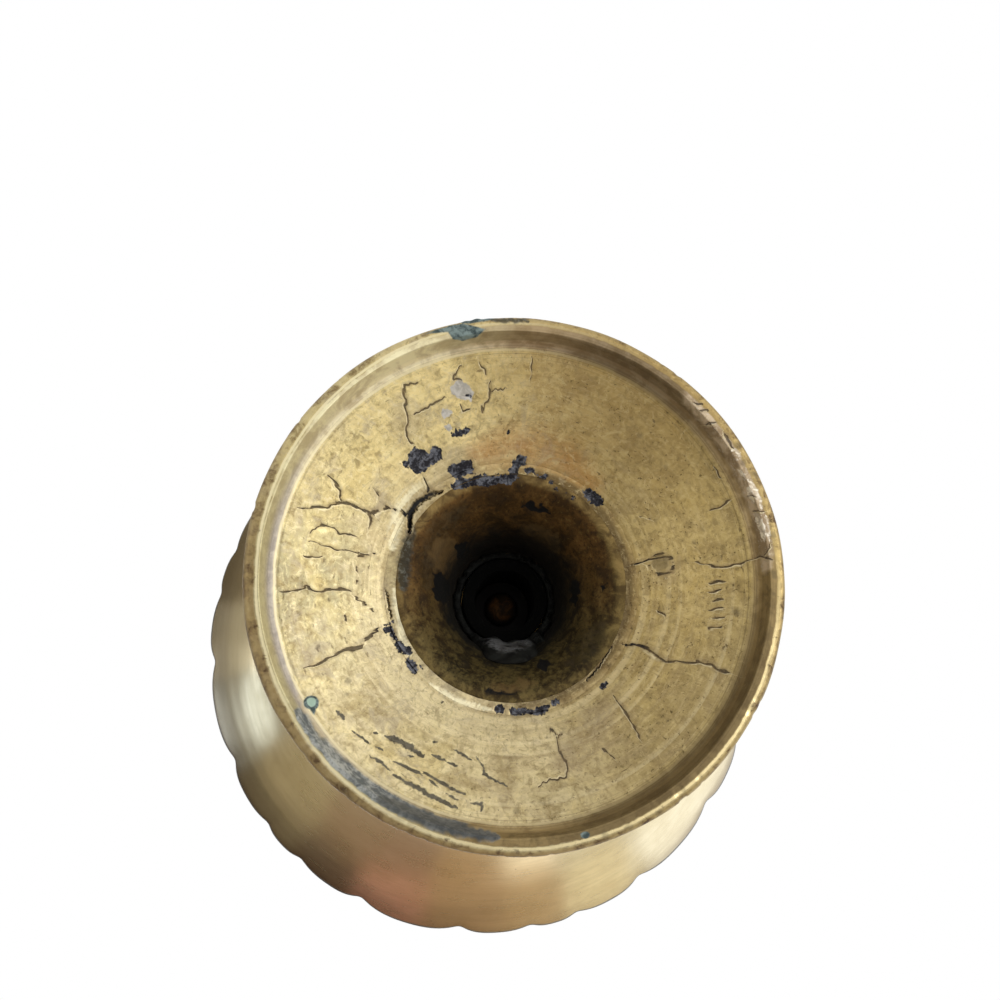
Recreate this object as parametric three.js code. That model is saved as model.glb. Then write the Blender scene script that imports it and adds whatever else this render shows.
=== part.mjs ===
// A footed compote dish in old brass. A thin bowl with a scalloped rim is riveted and soldered to a
// turned stem. The stem's tenon stands in a hollow cone, which is soldered into a flared foot plate.
// Millimetres, +Z up. The dish stands on the plane z = 0, with the z axis as its own axis.

import * as THREE from "three";

// Foot plate
const footRadius = 42.5; // at the widest circle of the rounded lip
const lipWidestHeight = 1.9; // height of that circle
const lipTopRound = 1.3; // how far the lip's top edge curves in
const lipCover = 0.8; // from the channel's corner up to the lip's top edge
const lipShelf = 1.2; // flat step on top of the lip
const restInset = 1.1; // from the widest circle in to the land that the dish stands on
const restWidth = 1.6; // width of that land
const lipWidth = 4.05; // from the widest circle in to the corner of the channel
const channelHeight = 4.4; // the channel's corner above the table
const channelFillet = 0.9; // rounding of that corner
const plateRise = 10.6; // from the channel's corner up to the edge of the hole
const plateSag = 0.8; // how far the plate bows down between those two
const plateThickness = 2.4;
const holeRadius = 19.8;
const hubLand = 3.4; // width of the flat seat round the hole
const seamChamfer = 1.4; // bevel under the hole's edge, which the solder fills

// Stem cone
const coneHeight = 22; // from its seat on the foot plate to the top of its neck
const skirtWall = 1.7; // wall of the skirt that goes down into the hole
const flangeOverhang = 2.4; // how far its flange reaches over the seat
const flangeHeight = 2.2;
const coneTurn = 4.4; // height over the flange at which the flare turns upwards
const coneWall = 2.2; // wall of the cone where the flare turns
const neckWall = 2.5; // metal round the tenon at the neck
const neckRing = 1.3; // how far the ring round the neck stands out
const neckRingHeight = 2.6;
const neckGrip = 4.2; // length of the bore that holds the tenon
const neckChamfer = 1.7; // bevel under that bore, which the solder fills

// Stem
const tenonRadius = 7.8;
const tenonWall = 2.2;
const tenonLength = 7; // from the shoulder down to the end that shows inside the cone
const boreDepth = 13.6; // from the tenon's end up to the blind end
const stemHeight = 30; // from the shoulder to the top that carries the bowl
const shoulderHeight = 1.4;
const waistStep = 0.8; // the waist's radius over the tenon's
const waistRound = 0.7; // fillet between shoulder and waist
const knopSwell = 5; // how far the knop stands out from the waist
const knopHeight = 13;
const collarSwell = 1.1; // the ring over the knop
const collarHeight = 2;
const stemNeckRadius = 6.8; // the thinnest place, under the cup
const cupRadius = 14.4; // the cup that flares out under the bowl
const cupTurn = 2; // how far below the cup's edge the flare turns outwards
const cupEdge = 1.4; // height of the cup's upright edge

// Bowl
const bowlHeight = 45.8; // from its flat base to the outer edge of the rim
const rimRadius = 70.2; // outer edge of the rim, at the top of a lobe
const bowlWall = 1.8;
const rimFlare = 0.7; // radius gained for each millimetre of height at the rim
const rimRun = 19; // height over which the wall keeps close to that slope
const floorRun = 29; // how far the wall leaves the base nearly level
const rimRepeats = 6; // times that the four lobes below go round the rim
const rimTurn = 21.4; // degrees from +X to the middle of the first wide lobe
const wideLobe = { share: 21.2, steps: 6 }; // a lobe's share of the rim, and its facets
const middleLobe = { share: 14.6, steps: 5 };
const narrowLobe = { share: 9.6, steps: 4 };
const deepNotch = 3; // cut beside a wide lobe, measured down from the lobes' tops
const shallowNotch = 1.9; // cut beside a narrow lobe
const notchFade = 8; // higher keeps the cut closer to the rim
const lobeCurve = 3; // 2 makes the lobes parabolas, higher makes them flatter with steeper ends

// Rivet, washer and solder
const rivetRadius = 2.2;
const headOverhang = 4.2; // how far the head in the bowl reaches past the shank
const headHeight = 2.6;
const peenOverhang = 1.1; // how far the lower end is hammered out over the washer
const peenHeight = 1.5;
const washerThickness = 1;
const filletWidth = 2.2; // solder between the cup's edge and the bowl's base
const filletDrop = 1.1; // how far that solder comes down the cup's edge
const solderSwell = 0.35; // how far a solder face bulges

const fitGap = 0.25; // clearance between pieces that seat in or on each other

// Facets round the axis, and steps along the curves of a profile
const footFacets = 56;
const coneFacets = 40;
const stemFacets = 36;
const rivetFacets = 24;
const solderFacets = 28;
const roundSteps = 3;
const knopSteps = 5;
const sweepSteps = 5;
const wallSteps = 9;

// Heights and radii that follow from the sizes above
const holeEdge = channelHeight + plateRise;
const plateSeat = holeEdge + plateThickness;
const coneSeat = plateSeat + fitGap;
const coneTop = coneSeat + coneHeight;
const stemSeat = coneTop + fitGap;
const tenonEnd = stemSeat - tenonLength;
const boreEnd = tenonEnd + boreDepth;
const stemTop = stemSeat + stemHeight;
const bowlSeat = stemTop + fitGap;
const skirtRadius = holeRadius - fitGap;
const tenonBore = tenonRadius - tenonWall;
const neckBore = tenonRadius + fitGap;
const neckRadius = neckBore + neckWall;
const neckBevelFoot = coneTop - neckGrip - neckChamfer;
const rivetHole = rivetRadius + fitGap;
const bowlBaseRadius = cupRadius + filletWidth + 2 * fitGap;

const oldBrass = new THREE.MeshStandardMaterial({ color: 0xc0a86a, roughness: 0.5, metalness: 1 });
const darkBrass = new THREE.MeshStandardMaterial({ color: 0x8a6f3e, roughness: 0.6, metalness: 1 });
const satinBrass = new THREE.MeshStandardMaterial({ color: 0xc9ab74, roughness: 0.3, metalness: 1 });
const greySolder = new THREE.MeshStandardMaterial({ color: 0x6f6f6c, roughness: 0.45, metalness: 1 });

const vector = ([r, z]) => new THREE.Vector2(r, z);

// A closed profile of radius and height, drawn anticlockwise: up the outside and down the inside.
class Profile {
  points = [];

  to(...corners) {
    this.points.push(...corners.map(vector));
    return this;
  }

  follow(curve, steps) {
    this.points.push(...curve.getPoints(steps).slice(1));
    return this;
  }

  // A sweep to an end point, drawn towards a pull point on its way.
  sweep(end, pull) {
    const start = this.points.at(-1);
    return this.follow(new THREE.QuadraticBezierCurve(start, vector(pull), vector(end)), sweepSteps);
  }

  // A quarter of an ellipse to an end point, round the corner where its end tangents meet.
  round(end, corner, steps = roundSteps) {
    const arcPull = (4 / 3) * (Math.SQRT2 - 1);
    const start = this.points.at(-1);
    const first = start.clone().lerp(vector(corner), arcPull);
    const last = vector(end).lerp(vector(corner), arcPull);
    return this.follow(new THREE.CubicBezierCurve(start, first, last, vector(end)), steps);
  }

  // A half-round bead up to a height, standing out from the last point's radius.
  bead(top, swell, steps = roundSteps) {
    const { x: foot, y: bottom } = this.points.at(-1);
    const crown = foot + swell;
    return this.round([crown, (bottom + top) / 2], [crown, bottom], steps).round(
      [foot, top],
      [crown, top],
      steps,
    );
  }

  turn(facets) {
    const geometry = new THREE.LatheGeometry([...this.points, this.points[0]], facets);
    return geometry.rotateX(Math.PI / 2);
  }
}

function piece(name, geometry, material) {
  const mesh = new THREE.Mesh(geometry, material);
  mesh.name = name;
  return mesh;
}

// The pull point that bows the plate down between two radii, at a height over its underside.
function platePull(outer, inner, lift) {
  return [(outer + inner) / 2, (channelHeight + holeEdge) / 2 + lift - 2 * plateSag];
}

function footPlate() {
  const landOuter = footRadius - restInset;
  const landInner = landOuter - restWidth;
  const channel = footRadius - lipWidth;
  const lipTop = channelHeight + lipCover;
  const shelfOuter = footRadius - lipTopRound;
  const shelfInner = shelfOuter - lipShelf;
  const plateTop = channelHeight + plateThickness;
  const hub = holeRadius + hubLand;
  const bevel = holeRadius + seamChamfer;
  return new Profile()
    .to([landInner, 0], [landOuter, 0])
    .round([footRadius, lipWidestHeight], [footRadius, 0])
    .round([shelfOuter, lipTop], [footRadius, lipTop])
    .to([shelfInner, lipTop])
    .round([channel, plateTop], [shelfInner, plateTop])
    .sweep([hub, plateSeat], platePull(channel, hub, plateThickness))
    .to([holeRadius, plateSeat], [holeRadius, holeEdge + seamChamfer], [bevel, holeEdge])
    .sweep([channel - channelFillet, channelHeight], platePull(channel, bevel, 0))
    .round([channel + channelFillet / 2, channelHeight - channelFillet], [channel, channelHeight])
    .turn(footFacets);
}

function stemCone() {
  const flange = holeRadius + flangeOverhang;
  const flangeTop = coneSeat + flangeHeight;
  const turnHeight = flangeTop + coneTurn;
  const ringFoot = coneTop - neckRingHeight;
  const skirtInner = skirtRadius - skirtWall;
  const bevel = neckBore + neckChamfer;
  return new Profile()
    .to([skirtInner, holeEdge], [skirtRadius, holeEdge], [skirtRadius, coneSeat], [flange, coneSeat])
    .bead(flangeTop, flangeHeight / 2)
    .to([skirtRadius, flangeTop])
    .sweep([neckRadius, ringFoot], [neckRadius + coneWall, turnHeight])
    .bead(coneTop, neckRing)
    .to([neckBore, coneTop], [neckBore, neckBevelFoot + neckChamfer], [bevel, neckBevelFoot])
    .sweep([skirtInner, holeEdge], [bevel, turnHeight - coneWall])
    .turn(coneFacets);
}

function stem() {
  const waist = tenonRadius + waistStep;
  const shoulderTop = stemSeat + shoulderHeight;
  const knopFoot = shoulderTop + waistRound;
  const knopTop = knopFoot + knopHeight;
  const collarTop = knopTop + collarHeight;
  const cupFoot = stemTop - cupEdge;
  return new Profile()
    .to([tenonBore, tenonEnd], [tenonRadius, tenonEnd], [tenonRadius, stemSeat])
    .to([neckRadius, stemSeat], [neckRadius, shoulderTop])
    .round([waist, knopFoot], [waist, shoulderTop])
    .bead(knopTop, knopSwell, knopSteps)
    .bead(collarTop, collarSwell)
    .to([stemNeckRadius, collarTop])
    .sweep([cupRadius, cupFoot], [stemNeckRadius, cupFoot - cupTurn])
    .to([cupRadius, stemTop], [rivetHole, stemTop], [rivetHole, boreEnd], [tenonBore, boreEnd])
    .turn(stemFacets);
}

// The bowl's wall: its outer curve from the base to the rim, and the same curve one wall further in.
function bowlWallCurves() {
  const rimHeight = bowlSeat + bowlHeight;
  const curve = new THREE.CubicBezierCurve(
    vector([bowlBaseRadius, bowlSeat]),
    vector([bowlBaseRadius + floorRun, bowlSeat]),
    vector([rimRadius - rimFlare * rimRun, rimHeight - rimRun]),
    vector([rimRadius, rimHeight]),
  );
  const outer = curve.getPoints(wallSteps);
  const inner = outer.map((point, i) => {
    const along = curve.getTangent(i / wallSteps);
    return point.clone().addScaledVector(vector([-along.y, along.x]), bowlWall);
  });
  return { outer, inner: inner.reverse() };
}

// Each facet line of the rim as an angle and the depth cut there. The edge of a lobe falls from its
// middle to the notch at either end by a power of the way there.
function rimLines() {
  const lobes = [
    { ...wideLobe, before: deepNotch, after: deepNotch },
    { ...middleLobe, before: deepNotch, after: shallowNotch },
    { ...narrowLobe, before: shallowNotch, after: shallowNotch },
    { ...middleLobe, before: shallowNotch, after: deepNotch },
  ];
  const shares = lobes.reduce((sum, lobe) => sum + lobe.share, 0) * rimRepeats;
  const perShare = (2 * Math.PI) / shares;
  const lines = [];
  let start = THREE.MathUtils.degToRad(rimTurn) - (wideLobe.share / 2) * perShare;
  for (let repeat = 0; repeat < rimRepeats; repeat++) {
    for (const lobe of lobes) {
      for (let step = 0; step < lobe.steps; step++) {
        const across = step / lobe.steps;
        const notch = THREE.MathUtils.lerp(lobe.before, lobe.after, across);
        const cut = notch * Math.abs(2 * across - 1) ** lobeCurve;
        lines.push({ angle: start + across * lobe.share * perShare, cut });
      }
      start += lobe.share * perShare;
    }
  }
  return lines;
}

// The turned bowl, with every facet line carried to its place on the rim and slid down the wall's
// slope by the cut there. The cut fades out a little way below the rim.
function bowl() {
  const { outer, inner } = bowlWallCurves();
  const profile = new Profile().to([rivetHole, bowlSeat]);
  profile.points.push(...outer, ...inner);
  profile.to([rivetHole, bowlSeat + bowlWall]);
  const lines = rimLines();
  const geometry = profile.turn(lines.length);
  const position = geometry.getAttribute("position");
  const pointsPerLine = profile.points.length + 1;
  for (let i = 0; i < position.count; i++) {
    const { angle, cut } = lines[Math.floor(i / pointsPerLine) % lines.length];
    const height = position.getZ(i);
    const slide = cut * ((height - bowlSeat) / bowlHeight) ** notchFade;
    const radius = Math.hypot(position.getX(i), position.getY(i)) - rimFlare * slide;
    position.setXYZ(i, radius * Math.cos(angle), radius * Math.sin(angle), height - slide);
  }
  return geometry;
}

// A ring of solder in a bevel that opens downwards beside an upright wall. The bevel is at 45
// degrees, so the clearance to it takes the gap times the root of two off both legs.
function bevelSolder(wallRadius, bottom, bevelSize) {
  const inner = wallRadius + fitGap;
  const leg = bevelSize - fitGap * Math.SQRT2;
  return new Profile()
    .to([inner, bottom])
    .sweep([inner + leg, bottom], [inner + leg / 2, bottom - 2 * solderSwell])
    .to([inner, bottom + leg])
    .turn(solderFacets);
}

// The fillet in the corner between the cup's upright edge and the bowl's flat base.
function bowlSolder() {
  const inner = cupRadius + fitGap;
  const top = bowlSeat - fitGap;
  return new Profile()
    .to([inner, top - filletDrop])
    .sweep([inner + filletWidth, top], [inner + solderSwell, top - solderSwell])
    .to([inner, top])
    .turn(solderFacets);
}

function bowlRivet() {
  const headSeat = bowlSeat + bowlWall + fitGap;
  const headTop = headSeat + headHeight;
  const headRadius = rivetRadius + headOverhang;
  const peenSeat = boreEnd - washerThickness - 2 * fitGap;
  const peenEnd = peenSeat - peenHeight;
  const peenRadius = rivetRadius + peenOverhang;
  return new Profile()
    .to([0, peenEnd])
    .round([peenRadius, peenSeat], [peenRadius, peenEnd])
    .to([rivetRadius, peenSeat], [rivetRadius, headSeat], [headRadius, headSeat])
    .round([0, headTop], [headRadius, headTop])
    .turn(rivetFacets);
}

function rivetWasher() {
  const top = boreEnd - fitGap;
  const bottom = top - washerThickness;
  const outer = tenonBore - fitGap;
  return new Profile()
    .to([rivetHole, bottom], [outer, bottom], [outer, top], [rivetHole, top])
    .turn(rivetFacets);
}

const compote = new THREE.Group();
compote.name = "compote_dish";
compote.add(
  piece("foot_plate", footPlate(), oldBrass),
  piece("foot_seam_solder", bevelSolder(skirtRadius, holeEdge, seamChamfer), greySolder),
  piece("stem_cone", stemCone(), darkBrass),
  piece("stem_solder", bevelSolder(tenonRadius, neckBevelFoot, neckChamfer), greySolder),
  piece("stem", stem(), oldBrass),
  piece("rivet_washer", rivetWasher(), darkBrass),
  piece("bowl_rivet", bowlRivet(), darkBrass),
  piece("bowl_solder", bowlSolder(), greySolder),
  piece("bowl", bowl(), satinBrass),
);

export default compote;
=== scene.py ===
from types import SimpleNamespace
import bpy
import numpy as np
from mathutils import Matrix


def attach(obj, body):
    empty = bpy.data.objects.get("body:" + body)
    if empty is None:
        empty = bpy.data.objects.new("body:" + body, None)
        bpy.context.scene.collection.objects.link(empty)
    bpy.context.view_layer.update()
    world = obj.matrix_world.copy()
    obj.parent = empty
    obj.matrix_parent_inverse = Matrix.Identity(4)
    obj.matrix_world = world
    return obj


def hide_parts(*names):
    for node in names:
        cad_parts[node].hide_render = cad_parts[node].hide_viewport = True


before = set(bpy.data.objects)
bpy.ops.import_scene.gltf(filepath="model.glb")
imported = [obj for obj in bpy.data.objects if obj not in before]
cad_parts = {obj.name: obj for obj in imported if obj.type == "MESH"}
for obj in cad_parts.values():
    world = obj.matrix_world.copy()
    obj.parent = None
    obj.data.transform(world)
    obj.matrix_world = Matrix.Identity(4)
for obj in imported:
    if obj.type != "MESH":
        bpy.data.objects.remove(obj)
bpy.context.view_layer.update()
mm = 0.001
print("frame loaded with", len(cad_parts), "solids")

# a close phone camera under the dish, looking up into its foot
photoView = {
    "place": (0.0, -30.83, -165.14),           # mm
    "right": (-0.91079, 0.4085, -0.05984),
    "up": (0.41081, 0.88228, -0.22983),
    "forward": (0.04109, 0.23391, 0.97139),
    "focal": 1080.0,                           # px
    "side": 1000.0,                            # px, the picture is square
    "middle": (500.8, 501.4),                  # px, where the lens axis falls in it
    "sensor": 36.0,                            # mm
    "nearest": 0.005,                          # m, from where the lens sees
}
viewPlace = np.array(photoView["place"])
viewRight = np.array(photoView["right"])
viewUp = np.array(photoView["up"])
viewForward = np.array(photoView["forward"])


def addObject(name, data):
    thing = bpy.data.objects.new(name, data)
    bpy.context.scene.collection.objects.link(thing)
    return thing


# sets a thing's own axes, side, up and back, and its place in mm
def standAt(thing, side, up, back, place):
    turn = np.stack([side, up, back, place * mm], 1)
    thing.matrix_world = Matrix(turn.tolist() + [[0, 0, 0, 1]])


# lens length: focal length over the picture's side, times the sensor; shifts: how far its middle is off
def addCamera():
    data = bpy.data.cameras.new("underCamera")
    data.sensor_width = photoView["sensor"]
    data.lens = photoView["sensor"] * photoView["focal"] / photoView["side"]
    data.shift_x = 0.5 - photoView["middle"][0] / photoView["side"]
    data.shift_y = photoView["middle"][1] / photoView["side"] - 0.5
    data.clip_start = photoView["nearest"]
    camera = addObject("underCamera", data)
    standAt(camera, viewRight, viewUp, -viewForward, viewPlace)
    bpy.context.scene.camera = camera


# where points in mm fall in the photo: the offset from the lens over its depth, times the focal length
def photoPixels(points):
    away = points - viewPlace
    depth = away @ viewForward
    px = photoView["middle"][0] + photoView["focal"] * (away @ viewRight) / depth
    py = photoView["middle"][1] - photoView["focal"] * (away @ viewUp) / depth
    return px, py


addCamera()
print("camera set")


# profile legs, as rows of radius and height in mm

# quadratic sweep from a to b, drawn towards the pull point
def sweepLeg(a, pull, b, n=80):
    t = np.linspace(0, 1, n)[:, None]
    return (1 - t) ** 2 * np.array(a) + 2 * t * (1 - t) * np.array(pull) + t ** 2 * np.array(b)


# quarter of an ellipse from a to b inside their corner: centre + (a - centre) cos + (b - centre) sin
def cornerLeg(a, corner, b, n=30):
    a, b, corner = np.array(a), np.array(b), np.array(corner)
    t = np.linspace(0, np.pi / 2, n)[:, None]
    centre = a + b - corner
    return centre + (a - centre) * np.cos(t) + (b - centre) * np.sin(t)


# half-round bead standing out from radius r between two heights, as two quarter ellipses
def beadLeg(r, bottom, top, swell):
    crown = (r + swell, (bottom + top) / 2)
    lower = cornerLeg((r, bottom), (r + swell, bottom), crown)
    upper = cornerLeg(crown, (r + swell, top), (r, top))
    return np.vstack([lower, upper[1:]])


# legs and single points one after another, without rows that repeat the one before
def joinLegs(*legs):
    rows = np.vstack([np.atleast_2d(np.array(leg, float)) for leg in legs])
    fresh = np.hypot(*np.diff(rows, axis=0).T) > 1e-6
    return rows[np.concatenate([[True], fresh])]


# way along an outline up to each of its rows: the lengths of the steps, summed
def runAlong(rows):
    return np.concatenate([[0], np.cumsum(np.hypot(*np.diff(rows, axis=0).T))])


# closed row of values averaged under a bell curve of a width, by damping its waves with the bell's own
def bellSmooth(values, step, width):
    bell = np.exp(-2 * (np.pi * np.fft.rfftfreq(len(values), step) * width) ** 2)
    return np.fft.irfft(np.fft.rfft(values) * bell, len(values))


# an outline's first cut: step in mm, fewest points, and the bend per mm past which no rings are added
firstCut = {"step": 0.03, "fewest": 400, "sharpest": 12}


# rings of a closed outline: it is cut in even steps, each point is averaged with its neighbours under
# a bell curve of the given width, which rounds the corners, and the rings are then spread by a weight
# that grows with the bend of the line and with the focus function of radius and height
def layRings(outline, count, soft, focus=None, bendWeight=0.5):
    loop = np.vstack([outline, outline[:1]])
    run = runAlong(loop)
    n = max(int(run[-1] / firstCut["step"]), firstCut["fewest"])
    step = run[-1] / n
    fine = [bellSmooth(np.interp(np.arange(n) * step, run, loop[:, k]), step, soft) for k in (0, 1)]
    fine = np.stack(fine, 1)
    along = np.roll(fine, -1, 0) - np.roll(fine, 1, 0)
    heading = np.arctan2(along[:, 1], along[:, 0])
    turn = np.abs(np.angle(np.exp(1j * (np.roll(heading, -1) - np.roll(heading, 1)))))
    weight = 1 + bendWeight * np.minimum(turn / (2 * step), firstCut["sharpest"])
    if focus is not None:
        weight = weight * focus(fine[:, 0], fine[:, 1])
    spread = np.concatenate([[0], np.cumsum(weight)])
    pick = np.interp(np.linspace(0, spread[-1], count, endpoint=False), spread, np.arange(n + 1))
    closed = np.vstack([fine, fine[:1]])
    return np.stack([np.interp(pick, np.arange(n + 1), closed[:, k]) for k in (0, 1)], 1)


# unit normals of a ring outline that runs up the outside: the step between neighbours turned right
def ringNormals(rings):
    step = np.roll(rings, -1, 0) - np.roll(rings, 1, 0)
    out = np.stack([step[:, 1], -step[:, 0]], 1)
    return out / np.maximum(np.hypot(out[:, 0], out[:, 1]), 1e-9)[:, None]


# sum of cosines near plus or minus one: a seed, how many, most turns round the axis, most per mm along
def waves(theta, s, seed, count, around, along):
    rng = np.random.default_rng(seed)
    turns = rng.integers(-around, around + 1, count)
    rates = rng.uniform(-along, along, count) * 2 * np.pi
    starts = rng.uniform(0, 2 * np.pi, count)
    total = np.zeros(np.broadcast(theta, s).shape)
    for turn, rate, start in zip(turns, rates, starts):
        total += np.cos(turn * theta + rate * s + start)
    return total / np.sqrt(count / 2)


# three squares less two cubes of the share of the way from low to high
def smooth(value, low, high):
    t = np.clip((value - low) / (high - low), 0, 1)
    return t * t * (3 - 2 * t)


def angles(count):
    return np.arange(count) * 2 * np.pi / count


# faces of a grid that closes round the axis, and along its outline too unless that is open: each cell
# joins a point with its next angle and its next ring
def gridFaces(nAngle, nRing, closed=True):
    i, j = np.meshgrid(np.arange(nAngle), np.arange(nRing if closed else nRing - 1), indexing="ij")
    ni, nj = (i + 1) % nAngle, (j + 1) % nRing
    corners = ((i, j), (ni, j), (ni, nj), (i, nj))
    return np.stack([(a * nRing + b).ravel() for a, b in corners], 1).tolist()


# a piece from points in mm, a grid unless faces are given, with its finish and fields of one value a point
def putPiece(name, nodeName, finish, points, fields=None, faces=None):
    mesh = bpy.data.meshes.new(name)
    mesh.from_pydata((points.reshape(-1, 3) * mm).tolist(), [], faces or gridFaces(*points.shape[:2]))
    mesh.polygons.foreach_set("use_smooth", np.ones(len(mesh.polygons), bool))
    for key, values in (fields or {}).items():
        column = np.broadcast_to(np.asarray(values, np.float32), points.shape[:2]).ravel()
        mesh.attributes.new(key, "FLOAT", "POINT").data.foreach_set("value", column)
    mesh.materials.append(finish)
    mesh.update()
    piece = addObject(name, mesh)
    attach(piece, "root")
    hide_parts(nodeName)
    print(name, "made with", len(mesh.polygons), "faces")


# points of rings turned about the axis, each pushed along its outline's normal by the relief in mm
def turnedPoints(rings, theta, relief=0.0):
    out = ringNormals(rings)
    r = rings[None, :, 0] + relief * out[None, :, 0]
    z = rings[None, :, 1] + relief * out[None, :, 1]
    r, z, around = np.broadcast_arrays(r, z, theta[:, None])
    return np.stack([r * np.cos(around), r * np.sin(around), z], -1)


# which turned points face the photo's lens: the outline's normal, turned, against the way to the lens
def facesLens(rings, theta, points):
    out = ringNormals(rings)
    normal = np.stack(np.broadcast_arrays(out[None, :, 0] * np.cos(theta)[:, None],
                                          out[None, :, 0] * np.sin(theta)[:, None], out[None, :, 1]), -1)
    toLens = viewPlace - points
    return np.einsum("ijk,ijk->ij", normal, toLens) / np.linalg.norm(toLens, axis=-1)


# marks are read off the photo and kept as strokes and outlines in its pixels

markReach = 14.0         # px round a mark that are worked out
offStroke = 50.0         # half widths, away from all strokes
strokeTaper = 0.5        # share of its width that a stroke loses at its ends


# which pixels lie in the box round a path, grown by the reach
def pixelsNear(px, py, path, reach):
    low, high = path.min(0) - reach, path.max(0) + reach
    return np.flatnonzero((px > low[0]) & (px < high[0]) & (py > low[1]) & (py < high[1]))


# offset of points from the nearest place on a straight step, and the share of the step up to it
def offStep(x, y, start, step):
    t = np.clip(((x - start[0]) * step[0] + (y - start[1]) * step[1]) / (step @ step), 0, 1)
    return x - start[0] - t * step[0], y - start[1] - t * step[1], t


# distance to the nearest stroke over that stroke's half width, and the same with the sign of its side;
# a stroke tapers towards its ends with the cube of the way from its middle
def strokeFields(px, py, strokes, reach=markReach):
    near = np.full(px.shape, offStroke)
    side = np.full(px.shape, offStroke)
    for halfWidth, path in strokes:
        path = np.array(path, float)
        runs = runAlong(path)
        pick = pixelsNear(px, py, path, reach)
        for start, step, run in zip(path, np.diff(path, axis=0), runs):
            dx, dy, t = offStep(px[pick], py[pick], start, step)
            share = (run + t * np.hypot(*step)) / runs[-1]
            far = np.hypot(dx, dy) / (halfWidth * (1 - strokeTaper * np.abs(2 * share - 1) ** 3))
            closer = far < near[pick]
            near[pick[closer]] = far[closer]
            side[pick[closer]] = (np.where(step[0] * dy - step[1] * dx < 0, -1, 1) * far)[closer]
    return near, side


# distance in pixels to the nearest outline, below zero inside it
def patchField(px, py, patches, reach=markReach):
    field = np.full(px.shape, reach)
    for patch in patches:
        patch = np.array(patch, float)
        pick = pixelsNear(px, py, patch, reach)
        x, y = px[pick], py[pick]
        far = np.full(x.shape, reach)
        inside = np.zeros(x.shape, bool)
        for a, b in zip(patch, np.roll(patch, -1, 0)):
            dx, dy, t = offStep(x, y, a, b - a)
            far = np.minimum(far, np.hypot(dx, dy))
            if a[1] != b[1]:
                crossing = (a[1] > y) != (b[1] > y)
                inside ^= crossing & (x < a[0] + (y - a[1]) * (b[0] - a[0]) / (b[1] - a[1]))
        field[pick] = np.minimum(field[pick], np.where(inside, -far, far))
    return field


# an outline round a centre: an ellipse, turned in degrees
def roundPatch(x, y, rx, ry=None, turn=0.0, n=16):
    t = angles(n)
    u, v = rx * np.cos(t), (ry or rx) * np.sin(t)
    c, s = np.cos(np.radians(turn)), np.sin(np.radians(turn))
    return np.stack([x + c * u - s * v, y + s * u + c * v], 1)


# materials

# linear colour from red, green and blue out of 255
def srgb(r, g, b):
    c = np.array([r, g, b]) / 255
    linear = np.where(c <= 0.04045, c / 12.92, ((c + 0.055) / 1.055) ** 2.4)
    return (*[float(v) for v in linear], 1.0)


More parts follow.
